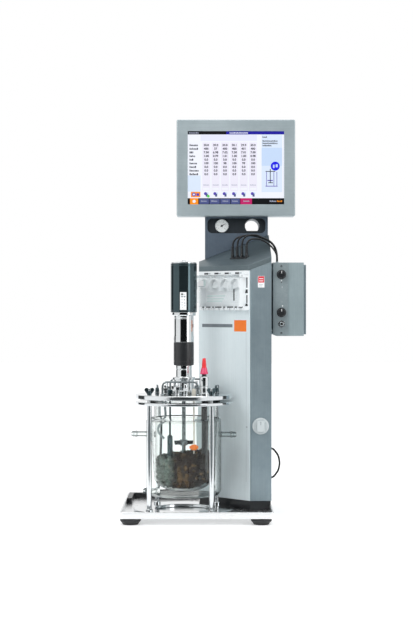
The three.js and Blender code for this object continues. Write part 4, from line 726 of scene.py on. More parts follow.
def boxPiece(name, low, high, edge=0.0003):
    deselect()
    bpy.ops.mesh.primitive_cube_add(size=1, location=[(a + b) / 2 for a, b in zip(low, high)])
    return soften(settled(name, [b - a for a, b in zip(low, high)]), edge)


def prism(name, sides, radius, low, high, edge=0.0002):
    deselect()
    bpy.ops.mesh.primitive_cylinder_add(vertices=sides, radius=radius, depth=high - low,
        location=(0, 0, (low + high) / 2))
    return soften(settled(name), edge)


def combine(piece, tool, operation):
    activate(piece)
    change = piece.modifiers.new("combine", "BOOLEAN")
    change.operation = operation
    change.solver = "EXACT"
    change.object = tool
    bpy.ops.object.modifier_apply(modifier=change.name)
    bpy.data.objects.remove(tool, do_unlink=True)
    return piece


def joined(name, pieces):
    deselect()
    for piece in pieces:
        piece.select_set(True)
    bpy.context.view_layer.objects.active = pieces[0]
    bpy.ops.object.join()
    pieces[0].name = name
    pieces[0].data.name = name
    return pieces[0]


def duplicate(piece, name):
    copy = piece.copy()
    copy.data = piece.data.copy()
    copy.name = name
    bpy.context.scene.collection.objects.link(copy)
    return copy


def paint(piece, finish):
    piece.data.materials.clear()
    piece.data.materials.append(finishes[finish])
    return piece


# Large faces keep their own direction, so that only the small edge faces look round.
def evenOut(piece):
    activate(piece)
    change = piece.modifiers.new("even", "WEIGHTED_NORMAL")
    change.keep_sharp = True
    bpy.ops.object.modifier_apply(modifier=change.name)


# The piece rides on its node's body, and stands for it where it replaces it.
def standFor(piece, node, finish=None, replace=True):
    if finish is not None:
        paint(piece, finish)
    if piece.type == "MESH" and len(piece.data.polygons) < 60000:
        evenOut(piece)
    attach(piece, bodyOf[node])
    if replace:
        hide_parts(node)
    return piece


# A welded copy of a folded or moulded node, whose sharp corners get a small real radius.
def roundedCopy(node, finish, width=0.0006, segments=2, angle=32):
    source = nodes[node]
    copy = bpy.data.objects.new(node + "_finished", source.data.copy())
    bpy.context.scene.collection.objects.link(copy)
    activate(copy)
    bpy.ops.object.mode_set(mode="EDIT")
    bpy.ops.mesh.select_all(action="SELECT")
    bpy.ops.mesh.remove_doubles(threshold=0.00001)
    bpy.ops.mesh.dissolve_limited(angle_limit=math.radians(0.5))
    bpy.ops.object.mode_set(mode="OBJECT")
    soften(copy, width, segments, angle)
    return standFor(copy, node, finish)


# A wire of round section: up from a foot, round two bends and down to the other foot.
def bentWire(name, width, height, radius, corner, sides=20, steps=12):
    deselect()
    bpy.ops.mesh.primitive_circle_add(vertices=sides, radius=radius, fill_type="NGON",
        location=(-width / 2, 0, 0))
    piece = bpy.context.object
    piece.name = name
    bpy.ops.object.transform_apply(location=True, rotation=False, scale=False)
    bpy.ops.object.mode_set(mode="EDIT")
    bpy.ops.mesh.select_all(action="SELECT")
    straight = height - corner
    bpy.ops.mesh.extrude_region_move(TRANSFORM_OT_translate={"value": (0, 0, straight)})
    bpy.ops.mesh.spin(steps=steps, angle=-quarterTurn, center=(corner - width / 2, 0, straight),
        axis=(0, 1, 0))
    bpy.ops.mesh.extrude_region_move(TRANSFORM_OT_translate={"value": (width - 2 * corner, 0, 0)})
    bpy.ops.mesh.spin(steps=steps, angle=-quarterTurn, center=(width / 2 - corner, 0, straight),
        axis=(0, 1, 0))
    bpy.ops.mesh.extrude_region_move(TRANSFORM_OT_translate={"value": (0, 0, -straight)})
    bpy.ops.mesh.select_all(action="SELECT")
    bpy.ops.mesh.remove_doubles(threshold=0.000002)
    bpy.ops.mesh.normals_make_consistent(inside=False)
    bpy.ops.object.mode_set(mode="OBJECT")
    return piece


# A thin mark on an upright face: x and z limits on the face, y where its skin lies.
def flatMark(name, left, right, low, high, depth, finish):
    deselect()
    bpy.ops.mesh.primitive_plane_add(size=1, location=((left + right) / 2, depth, (low + high) / 2),
        rotation=(quarterTurn, 0, 0))
    return paint(settled(name, (right - left, high - low, 1)), finish)


def roundMark(name, x, z, radius, depth, finish, sides=28):
    deselect()
    bpy.ops.mesh.primitive_circle_add(vertices=sides, radius=radius, fill_type="NGON",
        location=(x, depth, z), rotation=(quarterTurn, 0, 0))
    return paint(settled(name), finish)


# Plain numerals as a flat mesh, centred on x and z, facing the front.
def numeral(text, x, z, size, depth, finish, boldness=0.0):
    deselect()
    bpy.ops.object.text_add(location=(0, 0, 0))
    piece = bpy.context.object
    piece.data.body = text
    piece.data.size = size
    piece.data.offset = boldness
    piece.data.align_x = "CENTER"
    piece.data.align_y = "CENTER"
    piece.data.resolution_u = 2
    bpy.ops.object.convert(target="MESH")
    return paint(place(bpy.context.object, (x, depth, z), (quarterTurn, 0, 0)), finish)


# Raises the parts of a print off its face by a hair so that they show.
hair = 0.00012

print("stage: tray, feet and tower")

roundedCopy("base_tray", "traySteel", 0.0007, 3)
roundedCopy("rear_rail", "blackPlastic", 0.0006)
roundedCopy("tower_plinth", "blackPlastic", 0.0005)
roundedCopy("tower_shell", "columnSteel", 0.0009, 3)
# The front panel's steel is painted reflection: a paler copy of the column's brushed steel.
roundedCopy("front_panel", "paintedSheenSteel", 0.0005)
roundedCopy("tower_hood", "hoodSteel", 0.0008, 3)
neck = roundedCopy("neck_housing", "neckSteel", 0.0007)
rearCover = roundedCopy("rear_cover", "columnSteel", 0.0004)

# Painted shade: the sunk window round the gauge and the tunnel gets a darker steel than the neck, for the shade
# inside it; its depth, height and side margin.
pocket = {"depth": 0.009, "height": 0.0326, "below": 0.0192, "margin": 0.0052}


def darkenPocket():
    low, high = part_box("neck_housing")
    level = high.z - pocket["below"]
    neck.data.materials.append(finishes["pocketPaintedShade"])
    for face in neck.data.polygons:
        spot = face.center
        inside = low.x + pocket["margin"] < spot.x < high.x - pocket["margin"]
        sunk = low.y + 0.0009 < spot.y < low.y + pocket["depth"] + 0.0006
        if inside and sunk and abs(spot.z - level) < pocket["height"] / 2 + 0.0006:
            face.material_index = 1


darkenPocket()

footShape = {"rim": 0.8}


def buildFoot(node):
    low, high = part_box(node)
    radius = (high.x - low.x) / 2
    height = high.z - low.z
    profile = [(0, 0), (radius * 0.70, 0), (radius * 0.74, 0.0008), (radius * footShape["rim"], 0.0035),
        (radius * 0.97, height * 0.55), (radius, height * 0.68), (radius * 0.985, height * 0.85),
        (radius * 0.9, height * 0.92), (radius * 0.5, height - 0.0004), (0, height - 0.0004)]
    middle = middleOf(node)
    foot = place(spinProfile(node + "_puck", profile), (middle.x, middle.y, low.z))
    soften(foot, 0.0005)
    return standFor(foot, node, "blackRubber")


for corner in ("front_left", "front_right", "rear_left", "rear_right"):
    buildFoot("foot_" + corner)

print("stage: screws")

screwShape = {"head": 0.0026, "height": 0.0013, "socket": 0.0013}


# A low round head with a hexagonal socket, facing up, centred on the origin.
def makeScrew(name, size=1.0):
    head, height, socket = (screwShape[key] * size for key in ("head", "height", "socket"))
    piece = spinProfile(name, [(0, 0), (head, 0), (head, height * 0.6), (head * 0.8, height),
        (0, height)], 28)
    soften(piece, 0.00015 * size)
    tool = prism("socketTool", 6, socket, height * 0.35, height * 2, 0)
    return combine(piece, tool, "DIFFERENCE")


# Copies one screw to each place, all joined to one piece.
def screwSet(name, places, rotation, node, size=1.0, finish="polishedSteel"):
    first = makeScrew(name, size)
    copies = [first] + [duplicate(first, name + "_more") for _ in places[1:]]
    for screw, spot in zip(copies, places):
        place(screw, spot, rotation)
    whole = joined(name, copies)
    bpy.ops.object.shade_smooth_by_angle(angle=math.radians(30))
    return standFor(whole, node, finish, replace=False)


faceRear = (-quarterTurn, 0, 0)
faceFront = (quarterTurn, 0, 0)


def cornerPlaces(node, depth, inset, rows=2):
    low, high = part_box(node)
    levels = [low.z + inset + (high.z - low.z - 2 * inset) * row / (rows - 1) for row in range(rows)]
    return [(x, depth, z) for z in levels for x in (low.x + inset, high.x - inset)]


# The rear cover's screws sit in shallow round recesses, so nothing stands out behind the tower.
recess = {"radius": 0.0032, "depth": 0.0009}


def sinkRearScrews():
    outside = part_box("rear_cover")[1].y
    floor = outside - recess["depth"] - screwShape["height"] / 2
    for x, _, z in cornerPlaces("rear_cover", outside, 0.008, 3):
        tool = prism("recessTool", 28, recess["radius"], -recess["depth"], 0.001, 0)
        combine(rearCover, place(tool, (x, outside, z), faceRear), "DIFFERENCE")
    activate(rearCover)
    bpy.ops.mesh.customdata_custom_splitnormals_clear()
    bpy.ops.object.shade_smooth_by_angle(angle=math.radians(30))
    evenOut(rearCover)
    screwSet("rear_cover_screws", cornerPlaces("rear_cover", floor, 0.008, 3), faceRear, "rear_cover")


sinkRearScrews()
screwSet("display_back_screws", cornerPlaces("display_rear_cover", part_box("display_housing")[1].y, 0.009),
    faceRear, "display_rear_cover")

print("stage: vessel station")

station = {"turn": math.radians(-5.4), "legCircle": 0.0905, "legAngles": (-45, 45, 135, -135)}
axis = middleOf("clamp_ring")
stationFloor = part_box("stand_frame")[0].z


# Local place at an angle from the front, turning towards the right.
def polar(angle, radius):
    return radius * math.sin(math.radians(angle)), -radius * math.cos(math.radians(angle))


# One piece and its copies, stood at angles on a circle.
def ringOf(first, name, angles, radius, z=0):
    copies = [first] + [duplicate(first, name) for _ in angles[1:]]
    for piece, angle in zip(copies, angles):
        place(piece, (*polar(angle, radius), z))
    return copies


def atStation(piece, x=0.0, y=0.0, z=0.0, spin=0.0):
    spot = Matrix.Rotation(station["turn"], 3, "Z") @ Vector((x, y, 0))
    return place(piece, (axis.x + spot.x, axis.y + spot.y, z), (0, 0, station["turn"] + spin))


def rounded(corner, radius, start, end, steps=4):
    arc = [math.radians(start + (end - start) * step / steps) for step in range(steps + 1)]
    return [(corner[0] + radius * math.cos(angle), corner[1] + radius * math.sin(angle)) for angle in arc]


def washerProfile(inner, outer, height, edge=0.0008):
    return [(inner, edge), (inner + edge, 0), (outer - edge, 0), (outer, edge), (outer, height - edge),
        (outer - edge, height), (inner + edge, height), (inner, height - edge), (inner, edge)]


standShape = {"outer": 0.1045, "inner": 0.060, "ring": 0.0067, "leg": 0.005, "stud": 0.0025,
    "collar": 0.0072}


def buildStand():
    low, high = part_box("stand_frame")
    shape = standShape
    flat = washerProfile(shape["inner"], shape["outer"], shape["ring"], 0.001)
    ring = turned("stand", flat, 128, 0.0003)
    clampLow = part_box("clamp_ring")[0].z - low.z - 0.0003
    top = high.z - low.z
    base = shape["ring"] - 0.0005
    leg = [(0, base), (shape["collar"], base), (shape["collar"], base + 0.004),
        (shape["leg"], base + 0.0055), (shape["leg"], clampLow - 0.001), (shape["leg"] - 0.001, clampLow),
        (shape["stud"], clampLow), (shape["stud"], top - 0.0008), (shape["stud"] - 0.0008, top), (0, top)]
    first = turned("leg", leg, 40, 0.0002)
    legs = ringOf(first, "leg", station["legAngles"], station["legCircle"])
    frameStand = joined("stand_frame_turned", [ring] + legs)
    return standFor(atStation(frameStand, z=low.z), "stand_frame", "polishedSteel")


buildStand()


def buildClamp():
    low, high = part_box("clamp_ring")
    height = high.z - low.z
    outer = (high.x - low.x) / 2
    ring = turned("clamp_ring_turned", washerProfile(0.0645, outer, height, 0.0009), 128, 0.0003)
    return standFor(atStation(ring, z=low.z), "clamp_ring", "polishedSteel")


buildClamp()

# Metres above the station's floor.
vesselShape = {
    "bore": 0.0595, "wall": 0.003, "flange": 0.076, "flangeThickness": 0.0034, "jacket": 0.0782,
    "jacketTop": 0.195, "jacketBottom": 0.0323, "corner": 0.015, "shoulder": 0.007, "wellBottom": 0.0433,
    "dish": 0.030, "nippleHeight": 0.1605, "nippleLength": 0.034, "nipple": 0.0055, "nippleBore": 0.0033,
    "barb": 0.007, "lowerHeight": 0.046, "lowerAngle": -62,
}


def dishPoints(radius, bottom, height, steps=16):
    angles = [quarterTurn * step / steps for step in range(steps + 1)]
    return [(radius * math.sin(angle), bottom + height * (1 - math.cos(angle))) for angle in angles]


def jacketPoints(inset, neck):
    shape = vesselShape
    radius = shape["jacket"] - inset
    corner = shape["corner"] - inset
    shoulder = shape["shoulder"] - inset / 2
    bottom = shape["jacketBottom"] + inset
    top = shape["jacketTop"] - inset
    return ([(0, bottom)] + rounded((radius - corner, bottom + corner), corner, -90, 0, 8)
        + rounded((radius - shoulder, top - shoulder), shoulder, 0, 90, 8)
        + [(neck + 0.002, top), (neck, top + 0.0015)])


def spoutProfile():
    shape = vesselShape
    start = shape["jacket"] - 0.0022
    tip = start + shape["nippleLength"]
    return [(0, start - 0.0003), (shape["nipple"] + 0.002, start),
        (shape["nipple"] + 0.0006, start + 0.0025), (shape["nipple"], start + 0.006),
        (shape["nipple"], tip - 0.012), (shape["barb"], tip - 0.011),
        (shape["nipple"] - 0.0003, tip - 0.006), (shape["barb"] - 0.0006, tip - 0.0055),
        (shape["nipple"] - 0.0006, tip - 0.001), (shape["nipple"] - 0.0014, tip), (0, tip)]


def buildVessel():
    shape = vesselShape
    lift = -0.0003
    neck = shape["bore"] + shape["wall"]
    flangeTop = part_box("glass_vessel")[1].z - stationFloor - lift
    flangeLow = flangeTop - shape["flangeThickness"]
    outside = jacketPoints(0, neck) + [(neck, flangeLow - 0.006)] + [
        (neck + 0.0012, flangeLow - 0.001), (neck + 0.003, flangeLow), (shape["flange"] - 0.001, flangeLow),
        (shape["flange"], flangeLow + 0.001), (shape["flange"], flangeTop - 0.001),
        (shape["flange"] - 0.001, flangeTop),
        (shape["bore"] + 0.001, flangeTop), (shape["bore"], flangeTop - 0.001)]
    outside += reversed(dishPoints(shape["bore"], shape["wellBottom"], shape["dish"]))
    body = spinProfile("glass_vessel_blown", outside, 96)
    well = list(reversed(dishPoints(neck, shape["wellBottom"] - shape["wall"],
        shape["dish"] + shape["wall"])))
    inner = jacketPoints(shape["wall"], neck)[:-2] + well
    cavity = spinProfile("cavity", inner, 96)
    activate(cavity)
    bpy.ops.object.mode_set(mode="EDIT")
    bpy.ops.mesh.select_all(action="SELECT")
    bpy.ops.mesh.flip_normals()
    bpy.ops.object.mode_set(mode="OBJECT")
    body = joined("glass_vessel_blown", [body, cavity])
    spouts = ((-90, shape["nippleHeight"], 0), (90, shape["nippleHeight"], 0),
        (shape["lowerAngle"], shape["lowerHeight"], 0.0204))
    for angle, height, shorter in spouts:
        spout = spinProfile("spout", spoutProfile(), 32)
        place(spout, (0, 0, -shorter))
        place(spout, (0, 0, 0), (quarterTurn, 0, 0))
        place(spout, (0, 0, height), (0, 0, math.radians(angle)))
        body = combine(body, spout, "UNION")
        reach = shape["jacket"] - 0.007
        bore = prism("bore", 24, shape["nippleBore"], reach, reach + shape["nippleLength"] + 0.01, 0)
        place(bore, (0, 0, 0), (quarterTurn, 0, 0))
        place(bore, (0, 0, height), (0, 0, math.radians(angle)))
        body = combine(body, bore, "DIFFERENCE")
    activate(body)
    bpy.ops.object.shade_smooth_by_angle(angle=math.radians(35))
    paint(body, "vesselGlass")
    body.data.materials.append(finishes["spoutGlass"])
    for face in body.data.polygons:
        outward = math.hypot(face.center.x, face.center.y)
        if outward > shape["jacket"] + 0.0005 and face.center.z < flangeLow - 0.01:
            face.material_index = 1
    return standFor(atStation(body, z=stationFloor + lift), "glass_vessel")


buildVessel()


def buildGasket():
    low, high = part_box("lid_gasket")
    outer = (high.x - low.x) / 2
    ring = turned("lid_gasket_moulded", washerProfile(0.060, outer, high.z - low.z, 0.0003), 96, 0)
    return standFor(atStation(ring, z=low.z), "lid_gasket", "paleSilicone")


buildGasket()

lidShape = {"radius": 0.101, "height": 0.0094, "edge": 0.0012, "portCircle": 0.039}
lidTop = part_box("drive_hub")[0].z - 0.0003
lidLow = lidTop - lidShape["height"]
lidPorts = [
    {"angle": -108, "radius": 0.005, "height": 0.024, "kind": "barb"},
    {"angle": -78, "radius": 0.006, "height": 0.020, "kind": "cap"},
    {"angle": -14, "radius": 0.005, "height": 0.026, "kind": "barb"},
    {"angle": 12, "radius": 0.0044, "height": 0.022, "kind": "cap"},
    {"angle": 104, "radius": 0.006, "height": 0.022, "kind": "cap"},
    {"angle": 142, "radius": 0.005, "height": 0.026, "kind": "barb"},
    {"angle": 180, "radius": 0.006, "height": 0.020, "kind": "cap"},
    {"angle": -144, "radius": 0.005, "height": 0.024, "kind": "barb"},
]


# A screwed port: round seat, hexagonal nut, then a cap or a barbed tail.
def buildPort(port):
    radius, height = port["radius"], port["height"]
    seatRing = spinProfile("portSeat", [(0, -0.001), (radius * 1.3, -0.001), (radius * 1.3, 0.0012),
        (radius, 0.0016), (radius, height * 0.4), (0, height * 0.4)], 32)
    nut = prism("portNut", 6, radius * 1.35, height * 0.36, height * 0.62, 0.0003)
    if port["kind"] == "barb":
        top = [(0, height * 0.6), (radius * 0.72, height * 0.6), (radius * 0.5, height * 0.66),
            (radius * 0.5, height * 0.74), (radius * 0.68, height * 0.76), (radius * 0.5, height * 0.86),
            (radius * 0.68, height * 0.88), (radius * 0.46, height), (radius * 0.28, height),
            (radius * 0.28, height * 0.9), (0, height * 0.9)]
    else:
        top = [(0, height * 0.6), (radius * 1.05, height * 0.6), (radius * 1.05, height * 0.64),
            (radius * 0.95, height * 0.66), (radius * 0.95, height * 0.9), (radius * 0.8, height),
            (0, height)]
    tail = spinProfile("portTop", top, 32)
    for part in (seatRing, tail):
        soften(part, 0.00015, 1)
    whole = joined("port", [seatRing, nut, tail])
    x, y = polar(port["angle"], lidShape["portCircle"])
    return place(whole, (x, y, lidShape["height"]), (0, 0, math.radians(port["angle"])))


def buildLid():
    shape = lidShape
    outer, top, edge = shape["radius"], shape["height"], shape["edge"]
    profile = [(0, 0), (outer - edge, 0), (outer, edge), (outer, top - edge), (outer - edge, top),
        (0.0735, top), (0.073, top - 0.0004), (0.0722, top - 0.0004), (0.0717, top), (0, top)]
    disc = turned("lid_disc", profile, 128, 0.0002)
    ports = [buildPort(port) for port in lidPorts]
    lid = joined("lid_turned", [disc] + ports)
    return standFor(atStation(lid, z=lidLow), "lid", "polishedSteel")


buildLid()

inletShape = {"radius": 0.0024, "straight": 0.038, "bend": 0.015, "drop": 0.083}


# The grey gas inlet under the lid, bent out towards the wall and back.
def buildInlet():
    shape = inletShape
    x, y = polar(lidPorts[1]["angle"], lidShape["portCircle"])
    straight, bend, drop = shape["straight"], shape["bend"], shape["drop"]
    step = (drop - straight) / 5
    route = [(x, y, 0), (x, y, -straight / 2), (x, y, -straight), (x - bend / 3, y, -straight - step),
        (x - 0.87 * bend, y, -straight - 2.1 * step), (x - bend, y, -straight - 3.1 * step),
        (x - 0.6 * bend, y, -straight - 4.2 * step), (x - 0.13 * bend, y, -drop)]
    turn = Matrix.Rotation(station["turn"], 3, "Z")
    base = Vector((axis.x, axis.y, lidLow))
    pipe = curveThrough("inlet_pipe", [base + turn @ Vector(point) for point in route], shape["radius"])
    pipe.data.materials.append(finishes["greyHose"])
    return standFor(pipe, "lid", replace=False)


buildInlet()

wingShape = {"hub": 0.0046, "height": 0.009, "span": 0.017, "lobe": 0.0044, "thickness": 0.0026}
wingTurns = (20, -20, 75, -75)


def buildWingNut(index, angle, turn):
    shape = wingShape
    node = "wing_nut_%d" % index
    hub = spinProfile(node + "_forged", [(0, 0), (shape["hub"], 0), (shape["hub"], 0.002),
        (shape["hub"] * 0.8, shape["height"]), (0, shape["height"])], 32)
    for side in (-1, 1):
        reach = side * (shape["span"] / 2 - shape["lobe"] * 0.6)
        lobe = prism("lobe", 32, shape["lobe"], -shape["thickness"] / 2, shape["thickness"] / 2, 0.0006)
        place(lobe, (reach, 0, shape["height"] + 0.002), (quarterTurn, 0, 0))
        hub = combine(hub, lobe, "UNION")
        arm = boxPiece("arm", (-0.003, -shape["thickness"] / 2, -0.0045),
            (0.003, shape["thickness"] / 2, 0.0045), 0.0005)
        place(arm, (side * 0.0032, 0, shape["height"] * 0.62), (0, side * 0.65, 0))
        hub = combine(hub, arm, "UNION")
    soften(hub, 0.0003)
    x, y = polar(angle, station["legCircle"])
    return standFor(atStation(hub, x, y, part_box(node)[0].z, math.radians(turn)), node, "anodised")


for count, (angle, turn) in enumerate(zip(station["legAngles"], wingTurns)):
    buildWingNut(count + 1, angle, turn)

handleShape = {"width": 0.077, "height": 0.0294, "radius": 0.002, "corner": 0.010, "offset": 0.068}


def buildHandle(node, offset):
    shape = handleShape
    width = shape["width"] - 2 * shape["radius"]
    wire = bentWire(node + "_bent", width, shape["height"] - shape["radius"], shape["radius"],
        shape["corner"])
    collar = [(0, 0), (0.0040, 0), (0.0040, 0.0012), (0.0033, 0.0030), (0.0024, 0.0036), (0, 0.0036)]
    feet = []
    for side in (-1, 1):
        foot = spinProfile("handleFoot", collar, 28)
        feet.append(place(foot, (side * width / 2, 0, 0)))
    whole = soften(joined(node + "_bent", [wire] + feet), 0)
    return standFor(atStation(whole, 0, offset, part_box(node)[0].z), node, "handleSteel")


buildHandle("handle_front", -handleShape["offset"])
buildHandle("handle_rear", handleShape["offset"])

print("stage: drive")

# Radii and heights, in metres.
driveShape = {"hub": 0.024, "hubTop": 0.0349, "stem": 0.0167, "sleeve": 0.0211, "collar": 0.021,
    "collarTop": 0.0132, "lantern": 0.0205, "plate": 0.025, "plateTop": 0.0617, "motor": 0.0274}


def heightOf(node):
    low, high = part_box(node)
    return high.z - low.z


def onAxis(piece, node, finish):
    return standFor(atStation(piece, z=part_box(node)[0].z), node, finish)


def buildHub():
    shape = driveShape
    radius, shoulder, top = shape["hub"], shape["hubTop"], heightOf("drive_hub")
    profile = [(0, 0), (radius, 0), (radius, 0.0058), (radius - 0.0008, 0.0066), (radius - 0.003, 0.008),
        (radius - 0.003, shoulder - 0.006), (radius, shoulder - 0.005), (radius, shoulder - 0.001),
        (radius - 0.001, shoulder), (shape["stem"] + 0.0012, shoulder),
        (shape["stem"], shoulder + 0.0012), (shape["stem"], top - 0.009),
        (shape["stem"] - 0.0006, top - 0.0086), (shape["stem"] - 0.0006, top - 0.0076),
        (shape["stem"], top - 0.0072), (shape["stem"], top - 0.0005), (shape["stem"] - 0.0005, top),
        (0, top)]
    hub = turned("drive_hub_turned", profile, 96, 0.0003)
    screws = ringOf(makeScrew("hubScrew", 0.8), "hubScrew", (45, 135, 225, 315), radius - 0.0035,
        shoulder - 0.0002)
    return onAxis(joined("drive_hub_turned", [hub] + screws), "drive_hub", "polishedSteel")


def buildSleeve():
    radius, top = driveShape["sleeve"], heightOf("coupling_sleeve")
    profile = [(0.009, 0), (radius - 0.0008, 0), (radius, 0.0008), (radius, top * 0.16),
        (radius - 0.0004, top * 0.165), (radius - 0.0004, top * 0.18), (radius, top * 0.185),
        (radius, top - 0.0008), (radius - 0.0008, top), (0.009, top), (0.009, 0)]
    return onAxis(turned("coupling_sleeve_moulded", profile, 96, 0.0002), "coupling_sleeve",
        "blackPlastic")


def buildLantern():
    shape = driveShape
    top = heightOf("drive_lantern")
    tube = shape["lantern"]
    rings = []
    for level in (0.0035, 0.0062):
        z = shape["plateTop"] - 0.0067 - level
        rings += [(tube, z - 0.0004), (tube - 0.0004, z), (tube, z + 0.0004)]
    rings.sort(key=lambda point: point[1])
    profile = [(0, 0), (shape["collar"] - 0.0003, 0), (shape["collar"], 0.0003),
        (shape["collar"], shape["collarTop"] - 0.001), (tube, shape["collarTop"]), *rings,
        (tube, top - 0.0067), (shape["plate"] - 0.0015, top - 0.0067), (shape["plate"], top - 0.0052),
        (shape["plate"], top - 0.0004), (shape["plate"] - 0.0004, top), (0, top)]
    lantern = turned("drive_lantern_turned", profile, 96, 0.0002)
    for turn in range(4):
        hole = prism("setScrew", 20, 0.0016, -0.002, 0.002, 0)
        place(hole, (0, -shape["collar"], shape["collarTop"] / 2), (quarterTurn, 0, 0))
        place(hole, (0, 0, 0), (0, 0, quarterTurn * turn + math.radians(18)))
        lantern = combine(lantern, hole, "DIFFERENCE")
    return onAxis(soften(lantern, 0), "drive_lantern", "polishedSteel")


def buildMotor():
    radius, top = driveShape["motor"], heightOf("motor_body")
    profile = [(0, 0), (radius - 0.0008, 0), (radius, 0.0008), (radius, top * 0.035),
        (radius - 0.0005, top * 0.04), (radius, top * 0.045), (radius, top - 0.0045),
        (radius - 0.0005, top - 0.004), (radius, top - 0.0035), (radius, top - 0.0008),
        (radius - 0.0008, top), (0, top)]
    return onAxis(turned("motor_body_turned", profile, 96, 0.0002), "motor_body", "anodised")


# A plain white label bent round the motor: degrees from the front, and heights above its foot, in metres.
motorLabel = {"left": -15.7, "right": 12.4, "low": 0.0052, "high": 0.0418}

# Left and right shares of the label's width, bottom and top shares of its height, and the ink.
labelMarks = (
    (0.18, 0.50, 0.84, 0.93, "inkBlack"), (0.20, 0.46, 0.71, 0.79, "inkGrey"),
    (0.58, 0.84, 0.71, 0.79, "inkGrey"), (0.60, 0.82, 0.86, 0.90, "inkPale"),
    (0.62, 0.76, 0.54, 0.60, "inkGrey"), (0.22, 0.44, 0.55, 0.59, "inkPale"),
    (0.24, 0.48, 0.40, 0.44, "inkPale"), (0.62, 0.80, 0.36, 0.41, "inkGrey"),
    (0.26, 0.46, 0.26, 0.30, "inkPale"), (0.64, 0.82, 0.20, 0.26, "inkPale"),
    (0.30, 0.44, 0.12, 0.16, "inkPale"),
)


def bentMark(left, right, low, high, lift, finish):
    radius = driveShape["motor"] + lift
    steps = max(2, round((right - left) / 3))
    mark = spinProfile("bentMark", [(radius, low), (radius, high)], steps, math.radians(right - left))
    paint(mark, finish)
    return atStation(mark, z=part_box("motor_body")[0].z, spin=math.radians(right - 90) - station["turn"])


def labelMotor():
    spec = motorLabel
    wide, tall = spec["right"] - spec["left"], spec["high"] - spec["low"]
    marks = [bentMark(spec["left"], spec["right"], spec["low"], spec["high"], hair, "inkWhite")]
    for left, right, low, high, tone in labelMarks:
        marks.append(bentMark(spec["left"] + wide * left, spec["left"] + wide * right,
            spec["low"] + tall * low, spec["low"] + tall * high, 2 * hair, tone))
    standFor(joined("motor_label", marks), "motor_body", replace=False)


def buildMotorCap():
    radius = driveShape["motor"]
    profile = [(0, 0), (radius - 0.0005, 0), (radius - 0.0005, 0.0014), (radius - 0.003, 0.0024),
        (radius * 0.55, 0.0038), (0.004, 0.0046), (0.004, 0.0050), (0.0026, 0.0070), (0, 0.0070)]
    cap = turned("motor_cap_turned", profile, 96, 0.0003)
    screws = ringOf(makeScrew("capScrew", 0.75), "capScrew", (25, 145, 265), radius * 0.75, 0.0024)
    return onAxis(joined("motor_cap_turned", [cap] + screws), "motor_cap", "polishedSteel")


buildHub()
buildSleeve()
buildLantern()
buildMotor()
labelMotor()
buildMotorCap()

stirrerShape = {"shaft": 0.004, "bottom": 0.050, "levels": (0.062, 0.144), "reach": 0.020, "blade": 0.010,
    "thickness": 0.0016, "pitch": 40, "hub": 0.008, "hubHeight": 0.012}


def buildStirrer():
    shape = stirrerShape
    low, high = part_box("stirrer")
    top = high.z - low.z
    profile = [(0, 0), (shape["shaft"] - 0.0008, 0), (shape["shaft"], 0.0008)]
    for level in shape["levels"]:
        start = level - shape["bottom"] - shape["hubHeight"] / 2
        end = start + shape["hubHeight"]
        profile += [(shape["shaft"], start), (shape["hub"] - 0.0006, start),
            (shape["hub"], start + 0.0006), (shape["hub"], end - 0.0006), (shape["hub"] - 0.0006, end),
            (shape["shaft"], end)]
    profile += [(shape["shaft"], top), (0, top)]
    shaft = turned("stirrer_turned", profile, 48, 0.0002)
    parts = [shaft]
    for level in shape["levels"]:
        for turn in range(4):
            blade = boxPiece("blade",
                (shape["hub"] - 0.002, -shape["thickness"] / 2, -shape["blade"] / 2),
                (shape["reach"], shape["thickness"] / 2, shape["blade"] / 2), 0.0004)
            place(blade, (0, 0, 0), (math.radians(shape["pitch"]), 0, 0))
            parts.append(place(blade, (0, 0, level - shape["bottom"]), (0, 0, quarterTurn * turn)))
    whole = joined("stirrer_turned", parts)
    return standFor(atStation(whole, z=low.z, spin=math.radians(20)), "stirrer", "handleSteel")


buildStirrer()

print("stage: pieces through the lid")

# Places in the station's own frame, in metres.
probeSpots = {"sensor": (0.0452, -0.0257), "well": (-0.026, -0.022), "harvest": (0.024, -0.028)}


def throughLid(piece, spot, node, finish, replace=True, level=None):
    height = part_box(node)[0].z if level is None else level
    return standFor(atStation(piece, *probeSpots[spot], height), node, finish, replace)


